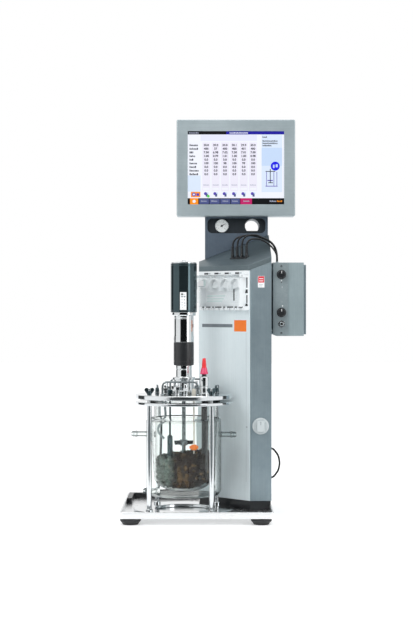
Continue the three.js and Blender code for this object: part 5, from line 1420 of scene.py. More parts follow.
def buildSensor():
    height = heightOf("sensor_holder")
    holder = [(0.0063, 0), (0.01165, 0), (0.01165, 0.0026), (0.0113, 0.0030), (0.00965, 0.0040),
        (0.00965, 0.014), (0.0091, 0.0146), (0.0091, 0.0166), (0.00965, 0.0172),
        (0.00965, height - 0.001), (0.00865, height), (0.0063, height), (0.0063, 0)]
    throughLid(turned("sensor_holder_turned", holder, 64, 0.0002), "sensor", "sensor_holder",
        "polishedSteel")
    top = heightOf("sensor_probe")
    probe = [(0, 0), (0.0035, 0), (0.0052, 0.0012), (0.006, 0.003), (0.006, 0.012), (0.0056, 0.0125),
        (0.0056, 0.0145), (0.006, 0.015), (0.006, top - 0.0052), (0.0048, top - 0.005),
        (0.0048, top - 0.0004), (0.0044, top), (0, top)]
    throughLid(turned("sensor_probe_turned", probe, 48, 0.0002), "sensor", "sensor_probe", "blackPlastic")
    rise = heightOf("probe_cap")
    cap = [(0, 0.009), (0.0054, 0.009), (0.0054, 0.0138), (0.0047, 0.0145), (0.0045, 0.020),
        (0.0034, rise - 0.0012), (0.0026, rise), (0, rise)]
    throughLid(turned("probe_cap_moulded", cap, 64, 0.0003), "sensor", "probe_cap", "redCap")
    skirt = [(0, 0), (0.0082, 0), (0.0083, 0.0008), (0.0080, 0.0030), (0.0060, 0.0122), (0.0052, 0.0128),
        (0, 0.0128)]
    piece = turned("probe_cap_skirt", skirt, 64, 0.0003)
    for turn in range(12):
        groove = prism("groove", 10, 0.0007, -0.001, 0.0055, 0)
        place(groove, (*polar(30 * turn, 0.0084), 0.001))
        piece = combine(piece, groove, "DIFFERENCE")
    throughLid(soften(piece, 0), "sensor", "probe_cap", "pinkCap", replace=False)


# Heights over the station's floor: the foot of each rod, the top of the well's swelling and the tee.
rodLevels = {"wellFoot": 0.062, "wellSwell": 0.161, "harvestFoot": 0.081, "harvestTee": 0.1308}


def buildThermometer():
    top = heightOf("temperature_probe")
    swell = rodLevels["wellSwell"] - rodLevels["wellFoot"]
    profile = [(0, 0), (0.0025, 0), (0.0044, 0.0012), (0.0055, 0.004), (0.0055, swell - 0.003),
        (0.0036, swell - 0.0008), (0.002, swell), (0.002, top - 0.010), (0.005, top - 0.010),
        (0.005, top - 0.002), (0.0034, top), (0, top)]
    throughLid(turned("temperature_probe_turned", profile, 48, 0.0003), "well",
        "temperature_probe", "anodised")


def buildHarvest():
    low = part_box("harvest_tube")[0].z
    fitting = rodLevels["harvestTee"] - rodLevels["harvestFoot"]
    tube = spinProfile("harvest_fitting", [
        (0.0017, fitting - 0.001), (0.0052, fitting - 0.0002), (0.006, fitting + 0.001),
        (0.006, fitting + 0.0095),
        (0.0052, fitting + 0.0105), (0.0017, fitting + 0.0112), (0.0017, fitting - 0.001)], 40)
    arm = prism("arm", 32, 0.003, -0.009, 0.009, 0.0005)
    place(arm, (0, 0, fitting + 0.00525), (0, quarterTurn, 0))
    tee = soften(combine(tube, arm, "UNION"), 0.0003)
    throughLid(tee, "harvest", "harvest_tube", "orangePlastic", level=low)
    top = heightOf("harvest_tube")
    pipe = spinProfile("harvest_pipe", [(0.0009, 0), (0.0016, 0), (0.0016, top - 0.012),
        (0.0044, top - 0.012), (0.0044, top - 0.003), (0.003, top), (0.0009, top), (0.0009, 0)], 32)
    throughLid(soften(pipe, 0.0002), "harvest", "harvest_tube", "paleSilicone", replace=False, level=low)


buildSensor()
buildThermometer()
buildHarvest()

print("stage: substrate")

# Metres in the station's own frame: the bed's top leans to the right and sinks at the left front.
bedShape = {"radius": 0.0562, "top": 0.1200, "tilt": 0.1, "dip": 0.011, "dipAt": (-0.018, -0.022),
    "dipSpread": 0.024, "lumps": 760, "smallest": 0.0022, "largest": 0.0060, "kinds": 4}


def bedHeight(x, y):
    away = (x - bedShape["dipAt"][0]) ** 2 + (y - bedShape["dipAt"][1]) ** 2
    return (bedShape["top"] + bedShape["tilt"] * x
        - bedShape["dip"] * math.exp(-away / bedShape["dipSpread"] ** 2))


def roughen(piece, size, strength, seed):
    texture = bpy.data.textures.new("roughness", "CLOUDS")
    texture.noise_scale = size
    texture.noise_depth = 2
    activate(piece)
    change = piece.modifiers.new("rough", "DISPLACE")
    change.texture = texture
    change.texture_coords = "LOCAL"
    change.strength = strength
    change.mid_level = 0.5 + seed * 0.01
    bpy.ops.object.modifier_apply(modifier=change.name)
    return piece


def buildHeap():
    outer = bedShape["radius"]
    bottom = vesselShape["wellBottom"] + 0.0035
    wall = dishPoints(outer, bottom, vesselShape["dish"], 20)
    rise = [(outer, wall[-1][1] + step * 0.006) for step in range(1, 7)]
    inward = [(outer * share, bedShape["top"] - 0.001)
        for share in (0.9, 0.8, 0.7, 0.6, 0.5, 0.4, 0.3, 0.2, 0.14)]
    stem = 0.0058
    hollow = [(stem, bedShape["top"] - 0.002), (stem, 0.074), (0.0225, 0.073), (0.0225, 0.052),
        (0, 0.052)]
    heap = spinProfile("substrate_heap",
        wall + rise + [(outer, bedShape["top"] - 0.003)] + inward + hollow, 96)
    for vertex in heap.data.vertices:
        lift = (vertex.co.z - 0.095) / (bedShape["top"] - 0.095)
        if lift > 0:
            vertex.co.z += (bedHeight(vertex.co.x, vertex.co.y) - bedShape["top"]) * min(lift, 1)
    return roughen(heap, 0.006, 0.0022, 0)


def lumpSpot():
    angle = random.uniform(0, 2 * math.pi)
    size = random.triangular(bedShape["smallest"], bedShape["largest"], bedShape["smallest"])
    if random.random() < 0.62:
        radius = bedShape["radius"]
        high = bedHeight(radius * math.cos(angle), radius * math.sin(angle)) - 0.0015
        z = random.uniform(bedShape["top"] - 0.066, high)
        lift = z - vesselShape["wellBottom"]
        if lift < vesselShape["dish"]:
            radius = bedShape["radius"] * math.sqrt(1 - (1 - lift / vesselShape["dish"]) ** 2)
        return (radius * math.cos(angle), radius * math.sin(angle), z), min(size, 0.0034)
    radius = math.sqrt(random.uniform(0.012, 0.055)**2)
    x, y = radius * math.cos(angle), radius * math.sin(angle)
    return (x, y, bedHeight(x, y) + size * random.uniform(-0.3, 0.5)), size


def clearOfPieces(spot, size):
    for key, reach in (("sensor", 0.0075), ("well", 0.0068), ("harvest", 0.0030)):
        x, y = probeSpots[key]
        if math.hypot(spot[0] - x, spot[1] - y) < reach + size:
            return False
    return math.hypot(spot[0], spot[1]) > 0.0065 + size


def buildLumps():
    kinds = []
    for kind in range(bedShape["kinds"]):
        deselect()
        bpy.ops.mesh.primitive_ico_sphere_add(subdivisions=2, radius=1, location=(0, 0, 0))
        lump = bpy.context.object
        lump.name = "lumpKind"
        lump.location = (kind * 7, 0, 0)
        bpy.ops.object.transform_apply(location=True, rotation=False, scale=False)
        roughen(lump, 0.9, 0.9, kind)
        bpy.ops.object.mode_set(mode="EDIT")
        bpy.ops.mesh.select_all(action="SELECT")
        bpy.ops.transform.translate(value=(-kind * 7, 0, 0))
        bpy.ops.object.mode_set(mode="OBJECT")
        kinds.append(lump)
    lumps = []
    for count in range(bedShape["lumps"]):
        spot, size = lumpSpot()
        if not clearOfPieces(spot, size):
            continue
        lump = duplicate(kinds[count % len(kinds)], "lump")
        lump.location = spot
        lump.rotation_euler = [random.uniform(0, 6.28) for _ in range(3)]
        lump.scale = [size * random.uniform(0.7, 1.1) for _ in range(3)]
        lumps.append(lump)
    for kind in kinds:
        bpy.data.objects.remove(kind, do_unlink=True)
    whole = joined("substrate_lumps", lumps)
    bpy.ops.object.transform_apply(location=True, rotation=True, scale=True)
    return whole


bedPiece = joined("substrate_bed_heaped", [buildHeap(), buildLumps()])
bpy.ops.object.shade_smooth()
standFor(atStation(bedPiece, z=stationFloor - 0.0003), "substrate_bed", "granules")

print("stage: pump module")

anchorOf = {joint["name"]: Vector(joint["pos_m"]) for joint in frame["joints"]}
slant = -math.pi / 4
panelOut = Vector((math.sin(slant), -math.cos(slant), 0))

roundedCopy("pump_chassis", "whitePlastic", 0.0004)
roundedCopy("pump_cover", "coverAcrylic", 0.0003)

rotorShape = {"radius": 0.0105, "roller": 0.0032, "length": 0.011, "flange": 0.002, "shaft": 0.0025,
    "pin": 0.0012}


# Its axis points out of the panel: two flanges, three rollers on pins and a hexagonal drive.
def buildRotor(count):
    shape = rotorShape
    node = "pump_rotor_%d" % count
    spider = shape["radius"] - shape["roller"]
    length, flange = shape["length"], shape["flange"]
    ends = [(0, 0), (spider, 0), (spider, flange), (0.0042, flange), (0.0042, length - flange),
        (spider, length - flange), (spider, length - 0.0004), (spider - 0.0004, length), (0.0034, length),
        (0.0034, length - 0.001), (0, length - 0.001)]
    parts = [turned(node + "_moulded", ends, 48, 0.0002)]
    parts.append(prism("drive", 6, 0.0024, length - 0.0015, length + 0.0003, 0.0002))
    parts.append(prism("shaft", 28, shape["shaft"], -0.005, 0.001, 0.0002))
    for turn in range(3):
        angle = math.radians(120 * turn + 90)
        spot = (spider * math.cos(angle), spider * math.sin(angle), 0)
        roller = spinProfile("roller", [(0, 0.0003), (shape["roller"] - 0.0003, 0.0003),
            (shape["roller"], 0.0006), (shape["roller"], length - 0.0006),
            (shape["roller"] - 0.0003, length - 0.0003), (shape["pin"], length - 0.0003),
            (shape["pin"], length), (0, length)], 28)
        parts.append(place(soften(roller, 0.0001), spot))
    rotor = joined(node + "_moulded", parts)
    place(rotor, (0, 0, 0), (quarterTurn, 0, 0))
    anchor = anchorOf["pump_%d_spin" % count]
    reach = rotorBack(node, anchor)
    spot = Vector((anchor.x, anchor.y, 0)) + panelOut * reach
    return standFor(place(rotor, (spot.x, spot.y, anchor.z), (0, 0, slant)), node, "whitePlastic")


# How far out of the joint's anchor the rotor's back flange lies, from the node's own points.
def rotorBack(node, anchor):
    source = nodes[node]
    reaches = [(source.matrix_world @ vertex.co - anchor).dot(panelOut)
        for vertex in source.data.vertices]
    return max(reaches) - rotorShape["length"]


for count in range(1, 5):
    buildRotor(count)

# A dark screw through the neck's front.
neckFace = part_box("neck_housing")[0].y
screwSet("neck_screw", [(0.0959, neckFace + 0.0002, 0.5862)], faceFront, "neck_housing", 1.3,
    "blackPlastic")

print("stage: prints on the panel")

# The panel's own frame: x along it from the middle of the pump module, and how far out of it a face lies.
moduleMiddle = (sum((anchorOf["pump_%d_spin" % count] for count in range(1, 5)), Vector()) / 4
    - panelOut * 0.0165)
moduleMiddle.z = 0


# How far out of the panel's frame a node reaches, in millimetres.
def reachOf(node):
    source = nodes[node]
    return max((source.matrix_world @ vertex.co - moduleMiddle).dot(panelOut)
        for vertex in source.data.vertices) / mm


def panelMark(left, right, low, high, out, finish):
    mark = flatMark("panelMark", left * mm, right * mm, low * mm, high * mm, -out * mm - hair, finish)
    return place(mark, moduleMiddle, (0, 0, slant))


def printOn(name, node, out, marks):
    pieces = [panelMark(*mark[:4], out + 0.08 * (len(mark) - 5), mark[4]) for mark in marks]
    return standFor(joined(name, pieces), node, replace=False)


# Left, right, low and high edges in millimetres, then the ink; a mark on another mark has one more entry.
ledgeMarksAndShadow = [(spot - 6, spot + 6, 511.4, 514.8, "inkBlack") for spot in (-45.9, -15.3, 15.3, 45.9)]
ledgeMarksAndShadow += [(spot + 6, spot + 13, 512.0, 514.2, "inkPale") for spot in (-45.9, -15.3, 15.3, 45.9)]
# The dark dashes along the ledge's front are painted shadow: they stand for the shaded gaps under the cover
# between the hoses.
ledgeMarksAndShadow += [(left, right, 440.2, 442.8, "inkBlack") for left, right in (
    (-58, -52), (-46.5, -33), (-28, -23), (-19, 0), (4.5, 11), (16, 34), (39, 46), (50, 62))]
ledgeMarksAndShadow += [(spot - 0.7, spot + 0.7, 436.8, 440.0, "inkPale")
    for spot in (-59, -48, -31, -20, -9, 5, 17, 28, 44, 58)]

sideMarks = [(64.0, 67.4, 482, 508, "inkBlack"), (64.0, 67.4, 450, 467, "inkBlack"),
    (60.5, 68.2, 470.6, 474.4, "inkBlack"), (62.0, 68.2, 474.4, 478.6, "inkBlack"),
    (60.8, 68.4, 443.6, 446.8, "inkBlack"), (62.2, 67.2, 446.8, 449.0, "inkBlack")]

coverMarks = [
    (-58, -55.8, 480, 498, "inkGrey"), (-52.4, -33, 484.8, 486.4, "inkPale"),
    (-52.4, -36.8, 487, 497.6, "inkWhite"),
    (-36.4, -30, 487, 498.5, "inkMist"), (-25.5, 28, 463.6, 466.4, "inkMist"),
    (-25.5, 24, 457.6, 460.2, "inkMist"),
    (-25.5, 20, 452.6, 455.6, "inkMist"), (51.8, 55.4, 455, 479, "inkBlack"),
]

panelMarks = [
    (-71.5, 19.5, 398.5, 405.5, "inkGrey"), (24.5, 60.0, 390.0, 414.0, "inkOrange"),
    (59.2, 59.8, 74, 388, "inkPale"),
    (59.2, 62.8, 188.6, 190.2, "inkGrey"),
]

printOn("pump_ledge_print_and_shadow", "pump_chassis", 13.0, ledgeMarksAndShadow)
printOn("pump_side_print", "pump_chassis", 4.0, sideMarks)
printOn("pump_cover_print", "pump_cover", reachOf("pump_cover"), coverMarks)
printOn("panel_print", "front_panel", reachOf("front_panel"), panelMarks)


# A plain red field over a white one with two bars, on the column's front: left, right, low and high
# edges in metres, how many hairs it stands out, and the ink.
stickerMarks = (
    (0.0880, 0.1017, 0.4826, 0.5067, 1, "inkWhite"), (0.0886, 0.1011, 0.4928, 0.5061, 2, "inkRed"),
    (0.0905, 0.0992, 0.4958, 0.4972, 3, "inkWhite"), (0.0905, 0.0992, 0.5004, 0.5018, 3, "inkWhite"),
    (0.0900, 0.0985, 0.4880, 0.4892, 2, "inkPale"), (0.0900, 0.0970, 0.4852, 0.4864, 2, "inkPale"),
)


def buildSticker():
    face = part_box("tower_shell")[0].y
    pieces = [flatMark("sticker", *edges, face - layer * hair, tone) for *edges, layer, tone in stickerMarks]
    return standFor(joined("column_sticker", pieces), "tower_shell", replace=False)


buildSticker()

print("stage: gas box")

roundedCopy("gas_box", "brushedSteel", 0.0006)
roundedCopy("control_plate", "speckledSteel", 0.0004)
roundedCopy("box_bracket", "columnSteel", 0.0004)
roundedCopy("cable_gland_plate", "blackPlastic", 0.0004)

boxKnobShape = {"radius": 0.00985, "length": 0.012, "skirt": 0.0032, "flutes": 8}


# A control knob along -Y: skirt, fluted grip and a pointer line.
def buildBoxKnob(node, joint):
    shape = boxKnobShape
    radius, length, skirt = shape["radius"], shape["length"], shape["skirt"]
    profile = [(0, 0), (radius - 0.0004, 0), (radius, 0.0004), (radius, skirt - 0.0006),
        (radius - 0.0009, skirt), (radius * 0.82, skirt), (radius * 0.76, length - 0.0008),
        (radius * 0.68, length), (0, length)]
    knob = turned(node + "_moulded", profile, 64, 0.0002)
    for turn in range(shape["flutes"]):
        flute = prism("flute", 20, 0.0018, skirt + 0.0008, length + 0.002, 0)
        angle = math.radians(360 / shape["flutes"] * (turn + 0.5))
        place(flute, (radius * 0.92 * math.sin(angle), radius * 0.92 * math.cos(angle), 0))
        knob = combine(knob, flute, "DIFFERENCE")
    soften(knob, 0)
    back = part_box(node)[1].y
    shaft = prism("shaft", 24, 0.003, -(back - anchorOf[joint].y - length), 0.001, 0.0002)
    paint(knob, "blackPlastic")
    paint(shaft, "polishedSteel")
    line = boxPiece("pointer", (-0.0005, radius * 0.2, length - 0.0002),
        (0.0005, radius * 0.74, length + 0.0001), 0)
    paint(line, "inkWhite")
    whole = joined(node + "_moulded", [knob, shaft, line])
    anchor = anchorOf[joint]
    place(whole, (anchor.x, anchor.y + length, anchor.z), faceFront)
    return standFor(whole, node)


buildBoxKnob("box_knob_upper", "upper_valve_turn")
buildBoxKnob("box_knob_lower", "lower_valve_turn")


# Plain dots under one valve and over the other: how far right of the valves, height, radius and ink.
plateDots = ((0, 0.4975, 0.0013, "inkWhite"), (0, 0.4935, 0.0011, "inkBlack"),
    (0.0016, 0.4838, 0.0009, "inkWhite"), (0.0012, 0.4524, 0.0010, "inkPale"),
    (0.0022, 0.4440, 0.0013, "inkWhite"))


# The dots, and a screw at each end of the plate.
def markControlPlate():
    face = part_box("control_plate")[0].y
    middle = anchorOf["upper_valve_turn"].x
    marks = [roundMark("dot", middle + right, height, radius, face - hair, tone)
        for right, height, radius, tone in plateDots]
    standFor(joined("control_plate_print", marks), "control_plate", replace=False)
    screwSet("control_plate_screws", [(middle, face + 0.0006, 0.5278), (middle, face + 0.0006, 0.3868)],
        faceFront, "control_plate", 0.8, "blackPlastic")


markControlPlate()


def buildHoseFitting():
    low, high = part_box("hose_fitting")
    centre = middleOf("hose_fitting")
    depth = high.y - low.y
    stem = depth - 0.020
    tail = [(0.0026, 0.005), (0.0052, 0.005), (0.0052, 0.008), (0.0036, 0.0082), (0.0036, 0.011),
        (0.0046, 0.0112), (0.0037, 0.015), (0.0046, 0.0152), (0.0035, 0.0198), (0.0031, 0.020),
        (0.0026, 0.020), (0.0026, 0.005)]
    parts = [turned("hose_fitting_turned", tail, 40, 0.0001)]
    hexagon = prism("hexagon", 6, 0.00779, 0, 0.006, 0.0004)
    parts.append(hexagon)
    parts.append(prism("stem", 28, 0.003, -stem, 0.001, 0.0002))
    whole = joined("hose_fitting_turned", parts)
    place(whole, (centre.x, high.y - stem, centre.z), faceFront)
    return standFor(whole, "hose_fitting", "polishedSteel")


buildHoseFitting()

print("stage: plugs")

# The strip lies on the sloping deck; a ridged boot stands up for each lead.
plugShape = {"pitch": 0.0138, "radius": 0.0034, "slope": 0.54, "base": 0.003, "depth": 0.011}


def buildPlugs():
    shape = plugShape
    low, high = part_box("plug_strip")
    middle = middleOf("plug_strip")
    lean = math.atan(shape["slope"])
    half = 1.5 * shape["pitch"] + shape["radius"]
    strip = boxPiece("plug_strip_moulded", (-half, -shape["depth"] / 2, 0),
        (half, shape["depth"] / 2, shape["base"]), 0.0005)
    place(strip, (0, 0, 0), (lean, 0, 0))
    parts = [place(strip, (0, 0, shape["depth"] / 2 * math.sin(lean)))]
    radius, height = shape["radius"], high.z - low.z
    profile = [(0, 0), (radius, 0), (radius, height * 0.28), (radius * 1.0, height * 0.3)]
    for ridge in range(6):
        level = height * (0.36 + 0.08 * ridge)
        width = radius * (0.98 - 0.02 * ridge)
        profile += [(width * 0.8, level), (width, level + height * 0.012),
            (width, level + height * 0.045), (width * 0.8, level + height * 0.057)]
    profile += [(radius * 0.8, height * 0.86), (radius * 0.85, height * 0.98), (radius * 0.75, height),
        (0, height)]
    for count in range(4):
        boot = turned("boot", profile, 36, 0.0001)
        parts.append(place(boot, ((count - 1.5) * shape["pitch"], 0, 0.0024)))
    whole = joined("plug_strip_moulded", parts)
    activate(whole)
    reach = max(vertex.co.z for vertex in whole.data.vertices)
    place(whole, (middle.x, middle.y, high.z - reach), (0, 0, slant))
    return standFor(whole, "plug_strip", "blackPlastic")


buildPlugs()

print("stage: gauge and knobs")

gaugeShape = {"radius": 0.0155, "bezel": 0.0016, "depth": 0.003, "start": -132, "end": 133, "marks": 10}
gaugeAt = anchorOf["gauge_needle_swing"]
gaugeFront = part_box("gauge_body")[0].y


def dialMark(angle, inner, outer, width, depth, finish):
    bar = flatMark("dialMark", -width / 2, width / 2, inner, outer, 0, finish)
    place(bar, (0, 0, 0), (0, math.radians(angle), 0))
    return place(bar, (gaugeAt.x, depth, gaugeAt.z))


def buildGauge():
    shape = gaugeShape
    radius, bezel, depth = shape["radius"], shape["bezel"], shape["depth"]
    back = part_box("gauge_body")[1].y - gaugeFront
    inner = radius - bezel
    profile = [(0, -back), (radius / 2, -back), (radius / 2, -0.007), (radius, -0.007), (radius, -0.0014),
        (radius - 0.0006, -0.0004), (radius - 0.0012, 0), (inner + 0.0001, -0.0004), (inner, -0.0009),
        (inner, -depth), (0, -depth)]
    case = turned("gauge_case", profile, 72, 0.0001)
    place(case, (gaugeAt.x, gaugeFront, gaugeAt.z), faceFront)
    standFor(case, "gauge_body", "polishedSteel")
    face = gaugeFront + depth - hair
    parts = [roundMark("gauge_dial", gaugeAt.x, gaugeAt.z, inner - 0.0001, face, "dialWhite", 64)]
    sweep = shape["end"] - shape["start"]
    for mark in range(shape["marks"] * 5 + 1):
        angle = shape["start"] + sweep * mark / (shape["marks"] * 5)
        long = mark % 5 == 0
        parts.append(dialMark(angle, inner - (0.0022 if long else 0.0015), inner - 0.0006,
            0.00032 if long else 0.00016, face - hair, "inkBlack"))
    for mark in range(0, shape["marks"] + 1, 2):
        angle = math.radians(shape["start"] + sweep * mark / shape["marks"])
        x, z = gaugeAt.x + 0.0089 * math.sin(angle), gaugeAt.z + 0.0089 * math.cos(angle)
        parts.append(numeral(str(mark), x, z, 0.0030, face - hair, "inkBlack"))
    standFor(joined("gauge_dial", parts), "gauge_body", replace=False)
    lens = spinProfile("gauge_lens", [(0, -0.0009), (inner - 0.0001, -0.0009), (inner - 0.0001, -0.0005),
        (inner * 0.6, -0.0003), (0, -0.0002)], 72)
    place(soften(lens, 0), (gaugeAt.x, gaugeFront, gaugeAt.z), faceFront)
    standFor(lens, "gauge_body", "dialLens", replace=False)


needleShape = {"length": 0.0103, "tail": 0.0035, "width": 0.0014, "hub": 0.0024, "thickness": 0.0007,
    "rest": 58}


def buildNeedle():
    shape = needleShape
    deselect()
    bpy.ops.mesh.primitive_cone_add(vertices=4, radius1=shape["width"] * 0.72, radius2=0.00015,
        depth=shape["length"], location=(0, 0, shape["length"] / 2))
    blade = settled("gauge_needle_stamped", (1, 0.4, 1))
    tail = boxPiece("tail", (-shape["width"] / 2, -shape["thickness"] / 2, -shape["tail"]),
        (shape["width"] / 2, shape["thickness"] / 2, 0), 0.0001)
    hub = prism("hub", 32, shape["hub"], -shape["thickness"] / 2, shape["thickness"] / 2, 0.0002)
    place(hub, (0, 0, 0), faceFront)
    whole = joined("gauge_needle_stamped", [blade, tail, hub])
    place(whole, (0, 0, 0), (0, math.radians(shape["rest"]), 0))
    place(whole, (gaugeAt.x, middleOf("gauge_needle").y, gaugeAt.z))
    return standFor(whole, "gauge_needle", "blackPlastic")


buildGauge()
buildNeedle()

dialKnobShape = {"radius": 0.0175, "length": 0.013, "skirt": 0.0042, "gripWidth": 0.0165,
    "gripHeight": 0.0235}


def buildMainKnob():
    shape = dialKnobShape
    radius, length, skirt = shape["radius"], shape["length"], shape["skirt"]
    profile = [(0, 0), (radius - 0.0005, 0), (radius, 0.0005), (radius, skirt - 0.0012),
        (radius - 0.0012, skirt), (0, skirt + 0.0004)]
    knob = turned("main_knob_moulded", profile, 80, 0.0003)
    grip = boxPiece("grip", (-shape["gripWidth"] / 2, -shape["gripHeight"] / 2, 0.001),
        (shape["gripWidth"] / 2, shape["gripHeight"] / 2, length), 0.0022)
    # The knob's dimmed white is painted shade.
    knob = paint(soften(combine(knob, grip, "UNION"), 0.0004), "knobWhitePaintedShade")
    anchor = anchorOf["dial_knob_turn"]
    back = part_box("main_knob")[1].y - anchor.y - length
    shaft = paint(prism("shaft", 28, 0.004, -back, 0.001, 0.0003), "polishedSteel")
    line = boxPiece("pointer", (-0.0006, 0.003, length - 0.0002), (0.0006, 0.0105, length + 0.0001), 0)
    paint(line, "inkGrey")
    whole = joined("main_knob_moulded", [knob, shaft, line])
    place(whole, (anchor.x, anchor.y + length, anchor.z), faceFront)
    return standFor(whole, "main_knob")


buildMainKnob()

print("stage: display")

roundedCopy("display_housing", "displaySteel", 0.0005, 3)
roundedCopy("display_rear_cover", "columnSteel", 0.0005)

screenLow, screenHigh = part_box("display_screen")
screenFront = screenLow.y
glassMargin = 0.004
windowLeft = screenLow.x + glassMargin
windowTop = screenHigh.z - glassMargin
windowWidth = screenHigh.x - screenLow.x - 2 * glassMargin
windowHeight = screenHigh.z - screenLow.z - 2 * glassMargin

glassPane = boxPiece("display_glass", (screenLow.x, screenLow.y, screenLow.z),
    (screenHigh.x, screenHigh.y, screenHigh.z), 0.0008)
standFor(glassPane, "display_screen", "glowBlack")

# A plain operating page, in millimetres from the window's left and top edges.
page = {
    "titleHeight": 7, "footTop": 145.3, "panelLeft": 160.5, "panelRight": 205, "rows": 9, "rowTop": 30.3,
    "rowPitch": 7.88, "labelLeft": 4.1, "columns": 6, "columnLeft": 40.3, "columnPitch": 20.3,
    "digits": 6.6,
    "barsTop": 115.4, "iconsTop": 132, "iconsBottom": 142.6, "disc": (190, 75.8), "discRadius": 9.8,
}
pageFront = screenFront - hair


def onPage(left, top, right, bottom, finish, layer=1):
    return flatMark("pagePatch", windowLeft + left * mm, windowLeft + right * mm, windowTop - bottom * mm,
        windowTop - top * mm, pageFront - hair * layer, finish)


def discOnPage(x, y, radius, finish, layer=2):
    return roundMark("pageDisc", windowLeft + x * mm, windowTop - y * mm, radius * mm,
        pageFront - hair * layer, finish)


def pageGrounds():
    width, height = windowWidth / mm, windowHeight / mm
    left, right = page["panelLeft"], page["panelRight"]
    marks = [
        onPage(0, 0, width, height, "glowWhite"),
        onPage(0, page["titleHeight"], 26, 96, "glowWhite", 2),
        onPage(0, 96, 28, page["iconsTop"] - 1, "glowSky", 2),
        onPage(28, page["titleHeight"], 150, 21, "glowLilac", 2),
        onPage(left, page["titleHeight"], right, 75, "glowSky", 2),
        onPage(left, 36, right, 75, "glowPaleBlue", 3),
        onPage(left, 75, right, page["iconsTop"], "glowSky", 3),
        onPage(0, 0, width * 0.4, page["titleHeight"], "glowBlack", 2),
        onPage(width * 0.4, 0, width, page["titleHeight"], "glowNavy", 2),
        onPage(0, page["footTop"], width, height, "glowBlack", 2),
        onPage(5, page["footTop"], 23, height, "glowOrange", 3),
        onPage(114.5, page["footTop"], 139.5, height, "glowMagenta", 3),
    ]
    for start, end in ((25, 46), (47.5, 69.5), (71, 92.5), (94, 113)):
        marks.append(onPage(start, page["footTop"] + 1, end, height - 1, "glowSlate", 3))
    for column in range(page["columns"]):
        middle = page["columnLeft"] + column * page["columnPitch"]
        marks.append(onPage(middle - 8.5, 24, middle + 8.5, page["iconsTop"] - 2, "glowColumn", 3))
    return marks


# A word as a row of small upright blocks, the first one taller, as print looks from across a room.
def pageWord(left, top, length, height, finish, layer):
    marks, x, first = [], left, True
    while x < left + length:
        width = random.uniform(0.28, 0.62) * height
        lift = 0 if first or random.random() < 0.2 else height * 0.26
        marks.append(onPage(x, top + lift, x + width, top + height, finish, layer))
        x += width + 0.2 * height
        first = False
    return marks


def pageLabels():
    lengths = (16, 17, 7, 11, 7, 14, 14, 20, 17)
    marks = []
    for row, length in zip(range(page["rows"]), lengths):
        top = page["rowTop"] + row * page["rowPitch"] - 2.2
        marks += pageWord(page["labelLeft"], top, length, 4.3, "glowText", 4)
    for top, length in ((11, 10), (19.5, 32), (24.5, 32), (29.5, 18)):
        marks += pageWord(page["panelLeft"] + 2, top, length, 3.2, "glowText", 5)
    marks += pageWord(3, 2, 20, 3, "glowFaint", 3)
    marks += pageWord(91, 2, 38, 3, "glowWhite", 3)
    marks += pageWord(178, 150, 14, 3.4, "glowFaint", 4)
    marks += pageWord(194, 150, 10, 3.4, "glowOrange", 4)
    for left in (29, 51, 76, 97, 121):
        marks += pageWord(left, 150, 12, 3.0, "glowFaint", 4)
    return marks


readings = (
    ("30.0", "400", "7.00", "1.00", "0.0", "100", "0.0", "0.0", "0.0"),
    ("30.0", "37", "6.98", "0.99", "0.0", "100", "0.0", "0.0", "0.0"),
    ("30.0", "400", "7.02", "1.01", "0.0", "98", "0.0", "0.0", "0.0"),
    ("30.1", "400", "7.00", "1.00", "0.0", "100", "0.0", "0.0", "0.0"),
    ("29.9", "401", "7.01", "1.00", "0.0", "99", "0.0", "0.0", "0.0"),
    ("30.0", "400", "7.00", "0.98", "0.0", "100", "0.0", "0.0", "0.0"),
)


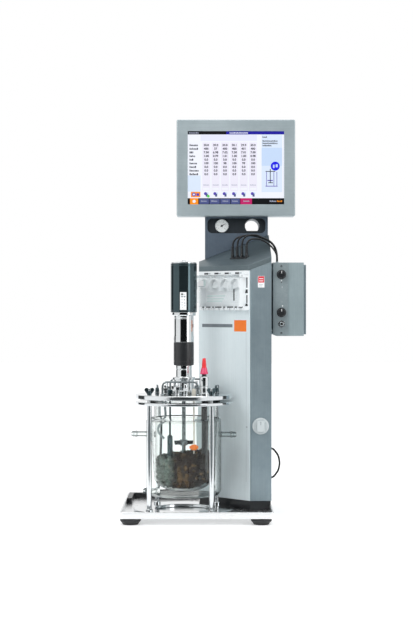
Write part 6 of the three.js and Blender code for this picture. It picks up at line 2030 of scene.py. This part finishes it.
def pageReadings():
    marks = []
    for column, values in enumerate(readings):
        x = windowLeft + (page["columnLeft"] + column * page["columnPitch"]) * mm
        for row, value in enumerate(values):
            z = windowTop - (page["rowTop"] + row * page["rowPitch"]) * mm
            marks.append(numeral(value, x, z, page["digits"] * mm, pageFront - 4 * hair, "glowText",
                0.00022))
        middle = page["columnLeft"] + column * page["columnPitch"]
        marks += pageWord(middle - 6, page["barsTop"], 12, 2.4, "glowFaint", 5)
        marks.append(onPage(middle - 7, 123, middle + 7, 127, "glowWhite", 4))
    return marks


def pageIcons():
    top, bottom = page["iconsTop"], page["iconsBottom"]
    level = (top + bottom) / 2
    marks = [onPage(7, top - 0.5, 27.5, bottom + 0.5, "glowOrange", 5),
        discOnPage(13.5, level, 4.2, "glowViolet", 6), discOnPage(13.5, level, 2.0, "glowWhite", 7),
        onPage(19, level - 2.5, 25, level + 3, "glowViolet", 6)]
    for column in range(page["columns"]):
        x = page["columnLeft"] + column * page["columnPitch"]
        marks.append(discOnPage(x - 1.5, level - 1.8, 3.4, "glowViolet", 5))
        marks.append(onPage(x - 1, level - 1.5, x + 3.4, level + 4.6, "glowSlate", 6))
        marks.append(onPage(x + 1.6, level - 4.4, x + 4.8, level - 1.2, "glowPaleBlue", 6))
    marks.append(discOnPage(page["columnLeft"] + 4.4, bottom - 1.6, 3.0, "glowGreen", 7))
    marks.append(discOnPage(14, (page["footTop"] + windowHeight / mm) / 2, 3.4, "glowWhite", 5))
    return marks


# A small drawing of a vessel beside a blue disc, as line work: left, top, right, bottom, finish and layer.
drawing = (
    (170.5, 88, 171.6, 120, "glowViolet", 5), (186.5, 88, 187.6, 120, "glowViolet", 5),
    (193, 88, 194.1, 120, "glowViolet", 5), (169, 86.5, 190, 88, "glowText", 5),
    (173.2, 106, 185, 108, "glowViolet", 5), (169, 118.5, 195, 120, "glowViolet", 5),
    (178.5, 82, 180, 112, "glowText", 6), (175, 111, 185, 112.6, "glowText", 6),
)


def pagePicture():
    x, y = page["disc"]
    marks = [discOnPage(x, y, page["discRadius"], "glowBlue", 5),
        onPage(x - 5, y - 3, x - 1.5, y + 4, "glowPaleBlue", 6),
        onPage(x + 1, y - 4, x + 5.5, y + 2.5, "glowPaleBlue", 6)]
    return marks + [onPage(*line) for line in drawing]


pagePieces = pageGrounds() + pageLabels() + pageReadings() + pageIcons() + pagePicture()
standFor(joined("display_page", pagePieces), "display_screen", replace=False)

print("stage: finish")
